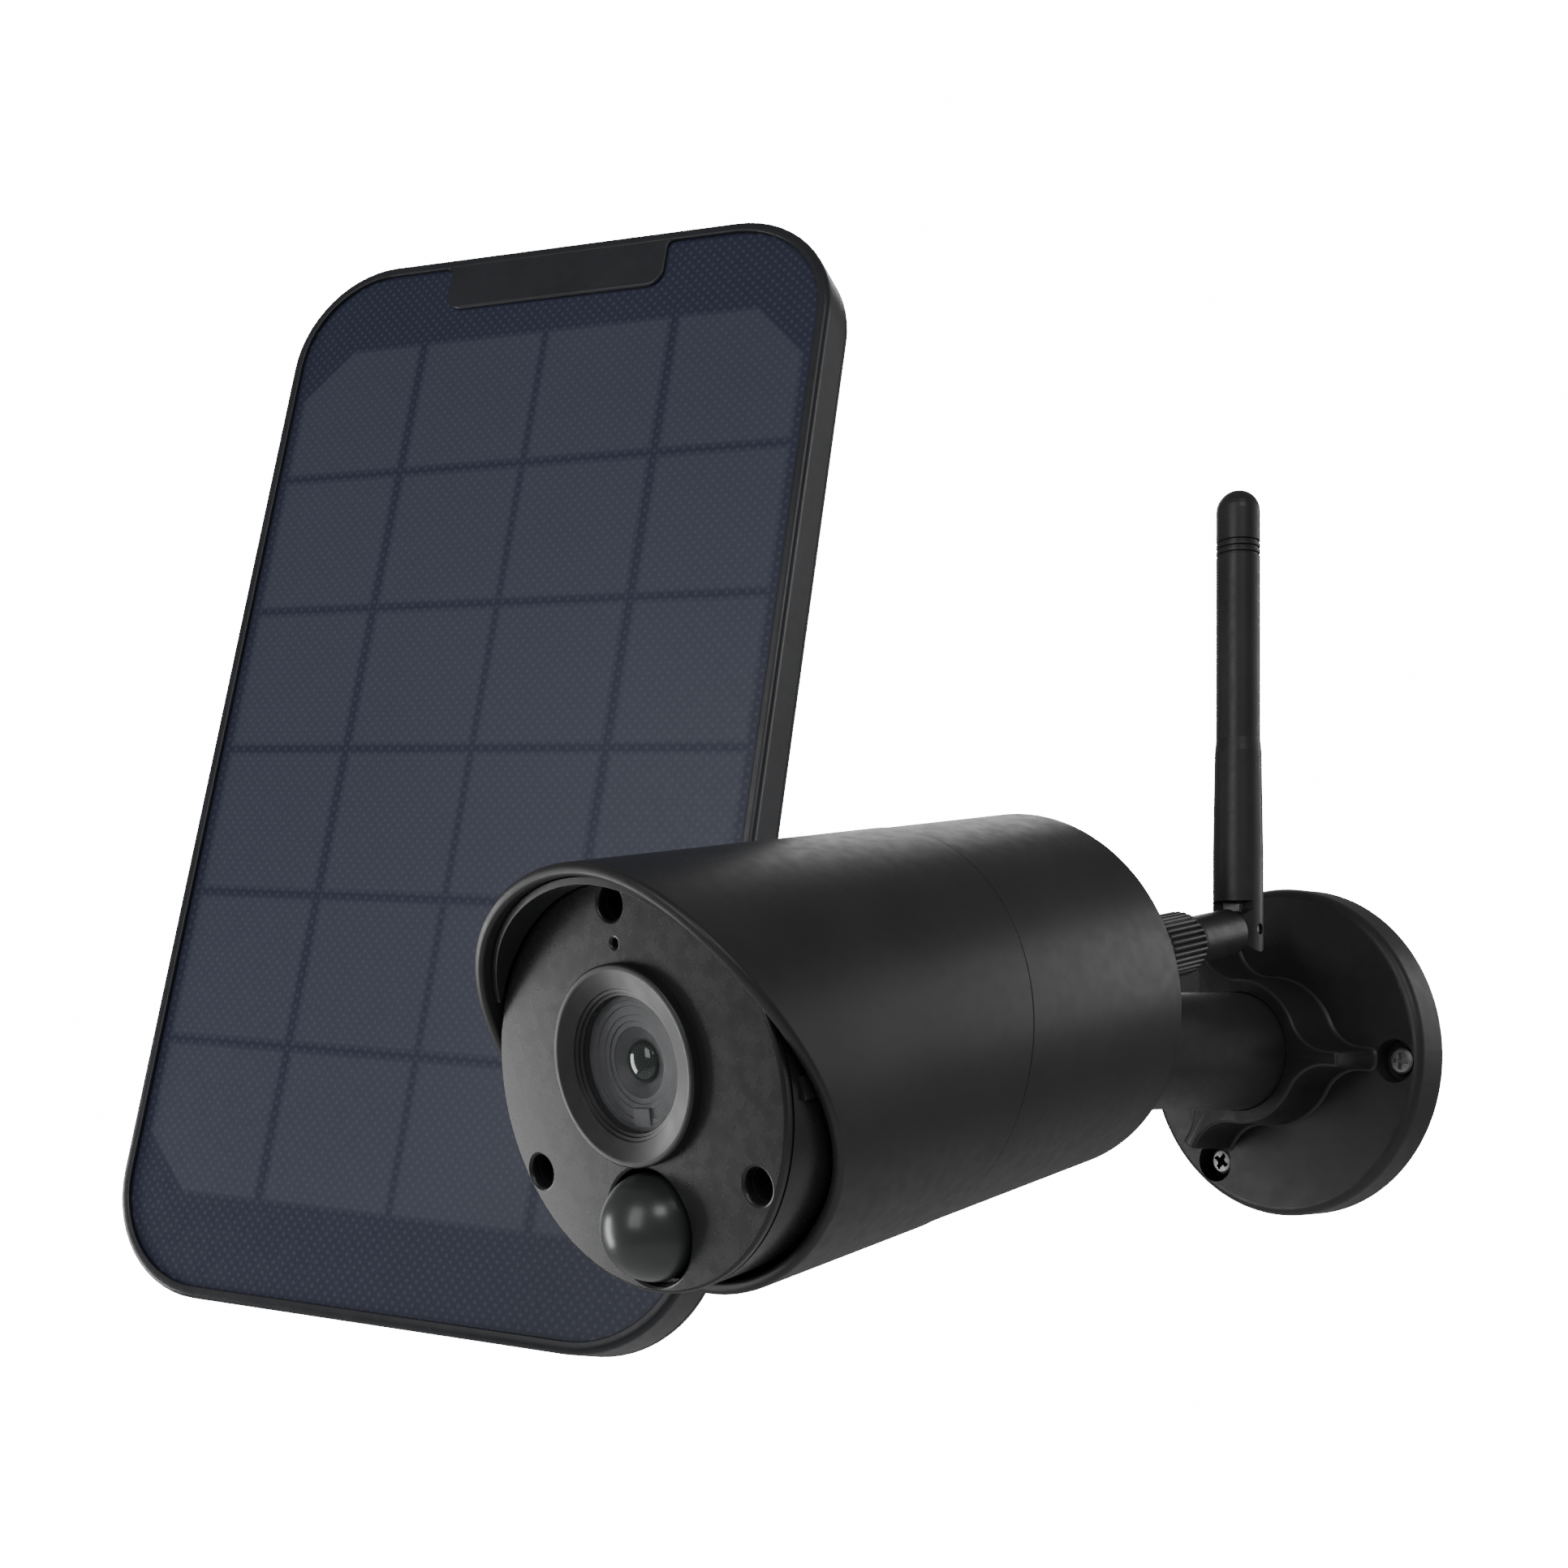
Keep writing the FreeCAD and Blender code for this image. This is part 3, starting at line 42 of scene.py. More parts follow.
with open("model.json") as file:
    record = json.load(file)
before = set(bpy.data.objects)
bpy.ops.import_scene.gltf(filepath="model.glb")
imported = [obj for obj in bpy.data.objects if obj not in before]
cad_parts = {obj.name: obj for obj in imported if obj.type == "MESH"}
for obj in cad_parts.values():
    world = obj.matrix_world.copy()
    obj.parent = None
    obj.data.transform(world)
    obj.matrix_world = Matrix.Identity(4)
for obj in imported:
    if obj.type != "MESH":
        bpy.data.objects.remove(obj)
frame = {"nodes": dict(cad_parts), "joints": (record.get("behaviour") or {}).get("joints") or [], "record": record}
cad_low, cad_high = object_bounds()

MM = 0.001
UP = Vector((0, 0, 1))
TURN = 2 * math.pi

# The photograph's camera.
EYE = Vector((0.2232, -0.3013, -0.0019))
LOOK = Vector((-0.7985, 0.5979, 0.0696))
SENSOR_WIDTH = 36.0
FOCAL_LENGTH = 39.5
SHIFT_UP = 0.0999

# The studio: a floor below the object, the world's brightness as light and as background, and the place of
# the light that the face reflects.
FLOOR_DROP = 0.5
FLOOR_RADIUS = 1.0
WORLD_LIGHT = 0.2
WORLD_BACKGROUND = 20.0
FACE_LIGHT_AT = Vector((-0.42, -0.46, -0.11))

# The camera head, in its own frame: across, back from its rear plane, and up. PIR is the motion sensor.
PIVOT_INSET = 9.0 * MM
PIVOT_DROP = 9.25 * MM
SLEEVE_RADIUS = 32.6 * MM
SLEEVE_WALL = 2.0 * MM
REAR_STEP = 0.15 * MM
SEAM_AT = -44.0 * MM
SEAM_SLOPE = 0.2
SEAM_GAP = 0.25 * MM
MOUTH_TOP = -104.6 * MM
MOUTH_BOTTOM = -86.9 * MM
MOUTH_TOP_UP = 33.0 * MM
MOUTH_BOTTOM_UP = -20.0 * MM
LINER_RADIUS = 30.45 * MM
LINER_WALL = 1.1 * MM
LINER_BACK = -97.2 * MM
LINER_SETBACK = 1.6 * MM
LINER_LEAST = 0.3 * MM
FACE_AT = -96.5 * MM
FACE_THICK = 1.6 * MM
FACE_RADIUS = 29.7 * MM
FACE_BEVEL = 0.5 * MM
FACE_SCREW_CIRCLE = 26.2 * MM
FACE_SCREW_RECESS = 2.5 * MM
PIR_UP = -20.2 * MM
PIR_RADIUS = 8.0 * MM
PIR_HEIGHT = 6.6 * MM
PIR_SOCKET = 8.5 * MM
PINHOLE_UP = 20.5 * MM
PINHOLE_RADIUS = 0.6 * MM

# The lens, from its low ring in to the front lens. WELL_STEPS holds each step's radius and drop.
LENS_UP = 3.2 * MM
LENS_OPENING = 10.6 * MM
BEZEL_RADIUS = 14.6 * MM
BEZEL_RISE = 1.6 * MM
BEZEL_FLAT = 0.9 * MM
BEZEL_SLOPE_RADIUS = 10.9 * MM
BEZEL_LEDGE_RADIUS = 10.35 * MM
BEZEL_TAIL = 1.3 * MM
BEZEL_SUNK = 0.1 * MM
BEZEL_PLAY = 0.1 * MM
WINDOW_RADIUS = 9.8 * MM
WINDOW_PLAY = 0.05 * MM
WINDOW_DROP = 0.2 * MM
WINDOW_THICK = 1.0 * MM
WELL_DROP = 1.3 * MM
WELL_STEPS = ((9.0 * MM, 0.12 * MM), (8.2 * MM, 0.18 * MM), (6.9 * MM, 0.12 * MM),
              (6.0 * MM, 0.18 * MM), (5.1 * MM, 0.12 * MM))
WELL_BACK = 1.0 * MM
CONE_RADIUS = 3.1 * MM
CONE_DEPTH = 0.9 * MM
FRONT_LENS_RISE = 1.5 * MM
FRONT_LENS_EDGE = 0.8 * MM
FLAG_DROP = 9.3 * MM
FLAG_HEIGHT = 2.8 * MM
FLAG_HALF = 1.7 * MM
FLAG_THICK = 0.6 * MM
FLAG_PROUD = 0.05 * MM

# The antenna's nut: its socket's place on the head, and where it starts and ends behind the rear plane.
SOCKET_SIDE = 23.8 * MM
SOCKET_UP = 5.9 * MM
NUT_START = 2.6 * MM
NUT_END = 17.5 * MM
NUT_RADIUS = 5.8 * MM
NUT_RIBS = 30
NUT_RIB_DEPTH = 0.55 * MM

# The lock ring, which stands on the wall disc round the neck.
DISC_FRONT = -8.55 * MM
HUB_FRONT = -20.3 * MM
HUB_RADIUS = 14.5 * MM
WING_REACH = 23.5 * MM
WING_HALF = 1.5 * MM
WING_FILLET = 9.0 * MM
WING_TIP_ROUND = 0.5 * MM
WING_TURN = math.radians(-4.0)
RING_PLAY = 0.15 * MM
# Depth behind the ring's front and spread past its outline, then height above the disc and spread.
RING_EDGE = ((0.0, -0.6 * MM), (0.06 * MM, -0.38 * MM), (0.2 * MM, -0.16 * MM),
             (0.42 * MM, -0.03 * MM), (0.7 * MM, 0.0))
RING_FOOT = ((1.0 * MM, 0.25 * MM), (0.3 * MM, 0.5 * MM), (0.0, 0.9 * MM))
NECK_RADIUS = 11.8 * MM

# The wall screws. The recess has an arm length, half an arm's width and a depth, at its mouth and its foot.
WALL_SCREW_SEAT = -4.2 * MM
WALL_SCREW_RADIUS = 2.7 * MM
WALL_SCREW_HEAD = 2.2 * MM
WALL_SCREW_DOME = ((1.0, 0.9 * MM), (0.93, 0.35 * MM), (0.8, 0.08 * MM), (0.66, 0.0))
WALL_SCREW_RECESS = ((1.62 * MM, 0.42 * MM, 0.0), (1.5 * MM, 0.34 * MM, 0.9 * MM))

# The solar panel, in its own frame: across, back from its front plane, and up. The tray lies under the sheet.
PANEL_REACH = 33.0 * MM
PANEL_ROLL = math.radians(3.88)
PANEL_WIDTH = 140.0 * MM
PANEL_HEIGHT = 246.0 * MM
PANEL_CORNER = 25.0 * MM
PANEL_SIDE = 11.0 * MM
LIP = 2.6 * MM
FILM_DEPTH = 0.9 * MM
TRAY_REACH = 4.0 * MM
TRAY_DROP = 0.9 * MM
TAB_WIDTH = 57.0 * MM
TAB_DROP = 11.0 * MM
TAB_CORNER = 4.0 * MM
TAB_FLARE = 1.6 * MM
TAB_OVERLAP = 0.6 * MM
DIMPLE_PITCH = 2.35 * MM
DIMPLE_DEPTH = 0.1 * MM
# The cells: their two column centres on each side of the middle, and their size and spacing.
CELL_COLUMNS = (16.3 * MM, 49.6 * MM)
CELL_WIDTH = 30.9 * MM
CELL_HEIGHT = 31.9 * MM
CELL_RISE = 34.0 * MM
CELL_LAST_ROW = CELL_RISE * 2.5
CELL_CHAMFER = 12.0 * MM
CELL_BLUR = 0.7 * MM


class Place:
    """A frame given by its origin and its back direction, level unless rolled."""

    def __init__(self, origin, back, roll=0.0):
        self.back = Vector(back).normalized()
        self.right = Vector((self.back.y, -self.back.x, 0)).normalized()
        turn = Matrix.Rotation(roll, 3, self.back)
        self.right = turn @ self.right
        self.up = self.right.cross(self.back)
        self.origin = Vector(origin)

    def at(self, across, along, rise):
        return self.origin + self.right * across + self.back * along + self.up * rise

    def facing(self, along):
        """The matrix that lays a drawing in X and Y on the plane at this depth, face forward."""
        turn = Matrix((self.right, self.up, -self.back)).transposed().to_4x4()
        return Matrix.Translation(self.at(0, along, 0)) @ turn


def joint(name):
    return next(j for j in frame["joints"] if j["name"] == name)


HEAD = Place(joint("head_tilt")["pos_m"], joint("head_roll")["axis"])
HEAD.origin = HEAD.at(0, PIVOT_INSET, PIVOT_DROP)
PANEL = Place(joint("panel_roll")["pos_m"], joint("panel_roll")["axis"], PANEL_ROLL)
PANEL.origin = PANEL.at(0, -PANEL_REACH, 0)
WALL = Place((0, 0, 0), (0, 1, 0))


# Materials.


class Shader:
    """A Principled material and short ways to add procedural nodes to it."""

    def __init__(self, name, **sockets):
        self.material = bpy.data.materials.new(name)
        self.material.use_nodes = True
        self.nodes = self.material.node_tree.nodes
        self.links = self.material.node_tree.links
        self.surface = self.nodes["Principled BSDF"]
        for socket, value in sockets.items():
            self.surface.inputs[socket.replace("_", " ")].default_value = value
        self.place = self.nodes.new("ShaderNodeTexCoord").outputs["Object"]

    def link(self, start, end):
        self.links.new(start, end)

    def noise(self, scale, detail=3.0, stretch=None):
        made = self.nodes.new("ShaderNodeTexNoise")
        made.inputs["Scale"].default_value = scale
        made.inputs["Detail"].default_value = detail
        place = self.place
        if stretch:
            mapping = self.nodes.new("ShaderNodeMapping")
            mapping.inputs["Scale"].default_value = stretch
            self.link(place, mapping.inputs["Vector"])
            place = mapping.outputs["Vector"]
        self.link(place, made.inputs["Vector"])
        return made.outputs["Fac"]

    def spread(self, value, low, high, start=0.3, end=0.7):
        made = self.nodes.new("ShaderNodeMapRange")
        made.inputs["From Min"].default_value = start
        made.inputs["From Max"].default_value = end
        made.inputs["To Min"].default_value = low
        made.inputs["To Max"].default_value = high
        self.link(value, made.inputs["Value"])
        return made.outputs["Result"]

    def mix(self, share, first, second):
        made = self.nodes.new("ShaderNodeMix")
        made.data_type = "RGBA"
        self.link(share, made.inputs["Factor"])
        for socket, colour in (("A", first), ("B", second)):
            slot = next(s for s in made.inputs if s.name == socket and s.type == "RGBA")
            if isinstance(colour, bpy.types.NodeSocket):
                self.link(colour, slot)
            else:
                slot.default_value = (*colour, 1.0)
        return next(s for s in made.outputs if s.type == "RGBA")

    def math(self, kind, first, second=None):
        made = self.nodes.new("ShaderNodeMath")
        made.operation = kind
        for socket, value in zip(made.inputs, (first, second)):
            if isinstance(value, bpy.types.NodeSocket):
                self.link(value, socket)
            elif value is not None:
                socket.default_value = value
        return made.outputs[0]

    def bump(self, height, strength, distance):
        made = self.nodes.new("ShaderNodeBump")
        made.inputs["Strength"].default_value = strength
        made.inputs["Distance"].default_value = distance
        self.link(height, made.inputs["Height"])
        self.link(made.outputs["Normal"], self.surface.inputs["Normal"])

    def colour(self, value):
        self.link(value, self.surface.inputs["Base Color"])

    def roughness(self, value):
        self.link(value, self.surface.inputs["Roughness"])


def moulded(name, colour, roughness, grain=2600.0, depth=0.012, shift=0.25, **sockets):
    """Moulded plastic: a faint mottle, a fine grain and an uneven sheen."""
    shader = Shader(name, **sockets)
    dark = tuple(c * (1 - shift) for c in colour)
    light = tuple(c * (1 + shift) for c in colour)
    clouds = shader.spread(shader.noise(55.0, 4.0), 0.0, 1.0)
    shader.colour(shader.mix(clouds, dark, light))
    sheen = shader.spread(shader.noise(420.0, 2.0), roughness * 0.9, roughness * 1.1)
    shader.roughness(sheen)
    shader.bump(shader.noise(grain, 2.0), 0.35, depth * MM)
    return shader.material


def metal(name, colour, roughness, stretch=(1.0, 1.0, 1.0)):
    """Plated or turned metal with fine streaks."""
    shader = Shader(name, Metallic=1.0)
    streaks = shader.noise(900.0, 3.0, stretch)
    dark = tuple(c * 0.8 for c in colour)
    shader.colour(shader.mix(shader.spread(streaks, 0.0, 1.0), dark, colour))
    shader.roughness(shader.spread(streaks, roughness * 0.75, roughness * 1.25))
    shader.bump(streaks, 0.2, 0.01 * MM)
    return shader.material


def sheet_grid():
    """How many lattice steps the dimpled sheet has across and up."""
    return tuple(2 * round((size - 2 * LIP) / DIMPLE_PITCH) for size in (PANEL_WIDTH, PANEL_HEIGHT))


def dimpled_film():
    """The panel's textured front sheet, with the cells showing softly through it and painted highlights on its
    dimples.
    """
    shader = Shader("film_blue", Coat_Weight=0.1, Coat_Roughness=0.35, Specular_IOR_Level=0.35)
    flat = shader.nodes.new("ShaderNodeUVMap")
    flat.uv_map = "flat"
    split = shader.nodes.new("ShaderNodeSeparateXYZ")
    shader.link(flat.outputs["UV"], split.inputs["Vector"])
    across = shader.math("ABSOLUTE", split.outputs["X"])
    rise = split.outputs["Y"]
    near = [shader.math("ABSOLUTE", shader.math("SUBTRACT", across, column)) for column in CELL_COLUMNS]
    beside = shader.math("SUBTRACT", shader.math("MINIMUM", *near), CELL_WIDTH / 2)
    step = shader.math("DIVIDE", shader.math("ADD", rise, CELL_RISE * 10), CELL_RISE)
    offset = shader.math("ABSOLUTE", shader.math("SUBTRACT", shader.math("FRACT", step), 0.5))
    above = shader.math("SUBTRACT", shader.math("MULTIPLY", offset, CELL_RISE), CELL_HEIGHT / 2)
    tall = shader.math("ABSOLUTE", rise)
    side, top = CELL_COLUMNS[1] + CELL_WIDTH / 2, CELL_LAST_ROW + CELL_HEIGHT / 2
    beyond = shader.math("SUBTRACT", tall, top)
    corner = shader.math("SUBTRACT", shader.math("ADD", across, tall), side + top - CELL_CHAMFER)
    outside = shader.math("MAXIMUM", shader.math("MAXIMUM", beside, above),
                          shader.math("MAXIMUM", beyond, corner))
    cell = shader.spread(outside, 1.0, 0.0, -CELL_BLUR, CELL_BLUR)
    clouds = shader.spread(shader.noise(14.0, 3.0), 0.0, 1.0)
    ground = shader.mix(clouds, (0.020, 0.025, 0.055), (0.024, 0.029, 0.062))
    wafer = shader.mix(clouds, (0.052, 0.058, 0.092), (0.058, 0.064, 0.098))
    columns, rows = sheet_grid()
    steps = ((PANEL_WIDTH - 2 * LIP) / columns, (PANEL_HEIGHT - 2 * LIP) / rows)
    # Painted highlights: every other lattice point of the dimples is lightened in colour, standing in for the
    # glints that the dimples catch.
    waves = [shader.math("COSINE", shader.math("MULTIPLY", way, math.pi / length))
             for way, length in zip((across, rise), steps)]
    painted_dimple_highlights = shader.spread(shader.math("MULTIPLY", *waves), 0.0, 0.35, 0.2, 0.9)
    tint = shader.mix(cell, ground, wafer)
    shader.colour(shader.mix(painted_dimple_highlights, tint, (0.11, 0.125, 0.19)))
    shader.roughness(shader.spread(shader.noise(500.0, 2.0), 0.36, 0.44))
    shader.bump(shader.noise(3000.0, 2.0), 0.2, 0.01 * MM)
    return shader.material


def window_glass():
    """The dark clear window over the lens."""
    shader = Shader("window_glass", Alpha=0.12, IOR=1.5, Coat_Weight=1.0, Coat_Roughness=0.03,
                    Specular_IOR_Level=0.5)
    haze = shader.noise(300.0, 2.0)
    shader.colour(shader.mix(haze, (0.05, 0.052, 0.056), (0.07, 0.072, 0.076)))
    shader.roughness(shader.spread(haze, 0.01, 0.04))
    return shader.material


def coated_lens():
    """The small front lens, dark with a green coating."""
    shader = Shader("lens_glass", Coat_Weight=1.0, Coat_Roughness=0.02, Specular_IOR_Level=0.8)
    shader.colour(shader.mix(shader.noise(240.0, 1.0), (0.004, 0.012, 0.010), (0.02, 0.05, 0.035)))
    shader.roughness(shader.spread(shader.noise(90.0, 1.0), 0.05, 0.12))
    return shader.material


def smoky_dome():
    """The motion sensor's dome: smoky, faintly green and glossy."""
    shader = Shader("dome_smoke", Coat_Weight=0.35, Coat_Roughness=0.2, Specular_IOR_Level=0.6)
    shader.colour(shader.mix(shader.noise(160.0, 2.0), (0.026, 0.031, 0.030), (0.034, 0.040, 0.038)))
    shader.roughness(shader.spread(shader.noise(700.0, 2.0), 0.30, 0.36))
    shader.bump(shader.noise(900.0, 2.0), 0.1, 0.004 * MM)
    return shader.material


def board(name, colour):
    """A lacquered circuit board with faint tracks."""
    shader = Shader(name, Coat_Weight=0.3)
    tracks = shader.spread(shader.noise(380.0, 0.0, (1.0, 1.0, 6.0)), 0.0, 1.0, 0.45, 0.55)
    dark = tuple(c * 0.6 for c in colour)
    shader.colour(shader.mix(tracks, dark, colour))
    shader.roughness(shader.spread(tracks, 0.35, 0.5))
    return shader.material


def make_materials():
    """One finish for every material slot of the record."""
    return {
        "shell_black": moulded("shell_black", (0.020, 0.020, 0.022), 0.40),
        "mount_black": moulded("mount_black", (0.022, 0.022, 0.024), 0.42),
        "foam_dark": moulded("foam_dark", (0.020, 0.020, 0.020), 0.9, 1400.0, 0.1),
        "screw_steel": metal("screw_steel", (0.40, 0.40, 0.41), 0.45),
        "black_screw": metal("black_screw", (0.012, 0.012, 0.0125), 0.6),
        "face_black": moulded("face_black", (0.019, 0.019, 0.021), 0.27, depth=0.004, shift=0.12),
        "ring_black": moulded("ring_black", (0.022, 0.022, 0.024), 0.34, depth=0.003),
        "window_glass": window_glass(),
        "barrel_black": moulded("barrel_black", (0.11, 0.112, 0.118), 0.42),
        "lens_glass": coated_lens(),
        "board_green": board("board_green", (0.02, 0.12, 0.05)),
        "board_black": board("board_black", (0.02, 0.02, 0.024)),
        "dome_smoke": smoky_dome(),
        "can_metal": metal("can_metal", (0.65, 0.63, 0.58), 0.3),
        "speaker_metal": metal("speaker_metal", (0.3, 0.3, 0.31), 0.35),
        "cell_wrap": moulded("cell_wrap", (0.05, 0.16, 0.35), 0.35),
        "cradle_grey": moulded("cradle_grey", (0.10, 0.10, 0.105), 0.5),
        "seal_rubber": moulded("seal_rubber", (0.015, 0.015, 0.015), 0.7),
        "flap_rubber": moulded("flap_rubber", (0.016, 0.016, 0.017), 0.62, 1800.0, 0.03),
        "connector_brass": metal("connector_brass", (0.80, 0.58, 0.26), 0.3),
        "nut_black": moulded("nut_black", (0.020, 0.020, 0.022), 0.36),
        "antenna_black": moulded("antenna_black", (0.021, 0.021, 0.0225), 0.42),
        "pin_steel": metal("pin_steel", (0.10, 0.10, 0.105), 0.3),
        "panel_black": moulded("panel_black", (0.020, 0.021, 0.026), 0.34),
        "film_blue": dimpled_film(),
        "cell_grey": moulded("cell_grey", (0.02, 0.025, 0.06), 0.3, 800.0, 0.01),
    }


def finish_cad(materials):
    """Gives every carried-over CAD node the finish of its slot."""
    for node in frame["nodes"].values():
        for slot in node.material_slots:
            name = slot.material.name.split(".")[0]
            slot.material = materials[name]


# Mesh helpers.


def add_piece(name, vertices, faces, body, slot, material, *nodes, sharp=40.0):
    """Makes a cleaned mesh piece that rides on a body and stands for CAD nodes."""
    mesh = bpy.data.meshes.new(name)
    mesh.from_pydata([tuple(v) for v in vertices], [], faces)
    work = bmesh.new()
    work.from_mesh(mesh)
    bmesh.ops.remove_doubles(work, verts=work.verts, dist=0.002 * MM)
    bmesh.ops.dissolve_degenerate(work, edges=work.edges, dist=0.001 * MM)
    bmesh.ops.recalc_face_normals(work, faces=work.faces)
    work.to_mesh(mesh)
    work.free()
    return settle(name, mesh, body, slot, material, *nodes, sharp=sharp)


def settle(name, mesh, body, slot, material, *nodes, sharp=40.0):
    """Shades a finished mesh smoothly up to its sharp edges, gives it its material and body, and hides its CAD
    nodes; slot is not used.
    """
    made = bpy.data.objects.new(name, mesh)
    bpy.context.scene.collection.objects.link(made)
    mesh.materials.clear()
    mesh.materials.append(material)
    for face in mesh.polygons:
        face.use_smooth = True
    mesh.set_sharp_from_angle(angle=math.radians(sharp))
    even = made.modifiers.new("even_shading", "WEIGHTED_NORMAL")
    even.keep_sharp = True
    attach(made, body)
    if nodes:
        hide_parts(*nodes)
    return made


def loft(rings, closed=True):
    """Vertices and faces of a skin over rings of equal count; closed joins the last to the first."""
    count = len(rings[0])
    vertices = [v for ring in rings for v in ring]
    faces = []
    steps = len(rings) if closed else len(rings) - 1
    for row in range(steps):
        here, there = row * count, (row + 1) % len(rings) * count
        for i in range(count):
            j = (i + 1) % count
            faces.append((here + i, here + j, there + j, there + i))
    return vertices, faces


def rounded(points, steps=4):
    """Rounds a section's corners: points are (radius, along) or (radius, along, corner)."""
    made = []
    for index, point in enumerate(points):
        here = Vector(point[:2])
        if len(point) == 2:
            made.append(here)
            continue
        before = Vector(points[index - 1][:2]) - here
        after = Vector(points[(index + 1) % len(points)][:2]) - here
        start = here + before.normalized() * point[2]
        end = here + after.normalized() * point[2]
        for step in range(steps + 1):
            t = step / steps
            made.append(start * (1 - t) ** 2 + here * 2 * t * (1 - t) + end * t ** 2)
    return made


def turned(place, across, rise, points, segments=144):
    """A turned skin about the place's back axis through (across, rise)."""
    section = rounded(points)
    rings = []
    for step in range(segments):
        angle = TURN * step / segments
        rings.append([place.at(across + p[0] * math.sin(angle), p[1], rise + p[0] * math.cos(angle))
                      for p in section])
    return loft(rings)


def circle(radius, across=0.0, rise=0.0, segments=96):
    """The points of a circle, as (across, rise)."""
    angles = [TURN * i / segments for i in range(segments)]
    return [(across + radius * math.cos(a), rise + radius * math.sin(a)) for a in angles]


def quarter(steps):
    """The angles of a quarter turn, from 0 to its end."""
    return [math.pi / 2 * step / steps for step in range(steps + 1)]


def head_ring(section, angle):
    """A section of (radius, along) set at an angle from straight up, round the head's axis."""
    return [HEAD.at(p[0] * math.sin(angle), p[1], p[0] * math.cos(angle)) for p in section]


def end_caps(vertices, count):
    """The faces that close an open loft at its first and its last ring."""
    return [tuple(range(count)), tuple(range(len(vertices) - count, len(vertices)))]


def flat_plate(name, outlines, place, front, thick, bevel, body, slot, material, *nodes):
    """A flat plate with holes and softened edges, drawn as outlines of (across, rise)."""
    drawing = bpy.data.curves.new(name, "CURVE")
    drawing.dimensions = "2D"
    drawing.fill_mode = "BOTH"
    drawing.extrude = thick / 2 - bevel
    drawing.bevel_depth = bevel
    drawing.bevel_resolution = 3
    drawing.offset = -bevel
    for outline in outlines:
        spline = drawing.splines.new("POLY")
        spline.points.add(len(outline) - 1)
        for point, (across, rise) in zip(spline.points, outline):
            point.co = (across, rise, 0, 1)
        spline.use_cyclic_u = True
    carrier = bpy.data.objects.new(name + "_drawing", drawing)
    bpy.context.scene.collection.objects.link(carrier)
    finished = carrier.evaluated_get(bpy.context.evaluated_depsgraph_get())
    mesh = bpy.data.meshes.new_from_object(finished)
    bpy.data.objects.remove(carrier)
    bpy.data.curves.remove(drawing)
    mesh.name = name
    mesh.transform(place.facing(front + thick / 2))
    return settle(name, mesh, body, slot, material, *nodes, sharp=30.0)


def smooth(t):
    """A step from 0 to 1 that starts and ends level."""
    t = min(max(t, 0.0), 1.0)
    return t * t * (3 - 2 * t)


# The camera head.


def mouth(rise):
    """How far forward the sleeve reaches at a height."""
    t = smooth((rise - MOUTH_BOTTOM_UP) / (MOUTH_TOP_UP - MOUTH_BOTTOM_UP))
    return MOUTH_BOTTOM + (MOUTH_TOP - MOUTH_BOTTOM) * t


def seam(rise):
    """Where the two sleeves meet at a height. The seam leans."""
    return SEAM_AT + SEAM_SLOPE * rise


def sleeve(name, node, outer, front, back, front_round, back_round, material):
    """A tube whose front and back edges are functions of height."""
    segments = 240
    inner = SLEEVE_RADIUS - SLEEVE_WALL
    rings = []
    for step in range(segments):
        angle = TURN * step / segments
        rise = outer * math.cos(angle)
        start, end = front(rise), back(rise)
        section = rounded([(outer, start, front_round), (inner, start, front_round),
                           (inner, end, back_round), (outer, end, back_round)], 5)
        rings.append(head_ring(section, angle))
    add_piece(name, *loft(rings), "head", "shell_black", material, node)


def sleeves(material):
    """The front sleeve with its hood, and the rear sleeve, a hair smaller behind the seam."""
    sleeve("sleeve_front", "front_sleeve", SLEEVE_RADIUS, mouth,
           lambda rise: seam(rise) - SEAM_GAP / 2, 0.9 * MM, 0.2 * MM, material)
    sleeve("sleeve_rear", "rear_sleeve", SLEEVE_RADIUS - REAR_STEP,
           lambda rise: seam(rise) + SEAM_GAP / 2, lambda rise: 0.0, 0.2 * MM, 0.8 * MM, material)


def hood_liner(material):
    """The crescent lining under the hood, thinning out where the mouth falls back."""
    limit = LINER_BACK - LINER_LEAST
    inner = LINER_RADIUS - LINER_WALL

    def front(angle):
        return mouth(LINER_RADIUS * math.cos(angle)) + LINER_SETBACK
    quarters = (math.radians(a / 4) for a in range(720))
    end = next(angle for angle in quarters if front(angle) > limit)
    steps = 120
    rings = []
    for step in range(steps + 1):
        angle = end * (2 * step / steps - 1)
        start = min(front(angle), limit)
        section = rounded([(LINER_RADIUS, start, 0.1 * MM), (inner, start, 0.1 * MM),
                           (inner, LINER_BACK), (LINER_RADIUS, LINER_BACK)])
        rings.append(head_ring(section, angle))
    vertices, faces = loft(rings, closed=False)
    faces += end_caps(vertices, len(rings[0]))
    add_piece("liner", vertices, faces, "head", "shell_black", material, "hood_liner")


def face(material):
    """The face plate, with its lens and sensor openings, microphone hole and three screw recesses."""
    outlines = [circle(FACE_RADIUS, segments=192), circle(LENS_OPENING, 0, LENS_UP),
                circle(PIR_SOCKET, 0, PIR_UP), circle(PINHOLE_RADIUS, 0, PINHOLE_UP, 32)]
    for index in range(3):
        angle = math.pi / 2 + TURN * index / 3
        outlines.append(circle(FACE_SCREW_RECESS, FACE_SCREW_CIRCLE * math.cos(angle),
                               FACE_SCREW_CIRCLE * math.sin(angle), 48))
    flat_plate("face", outlines, HEAD, FACE_AT, FACE_THICK, FACE_BEVEL,
               "head", "face_black", material, "face_plate")


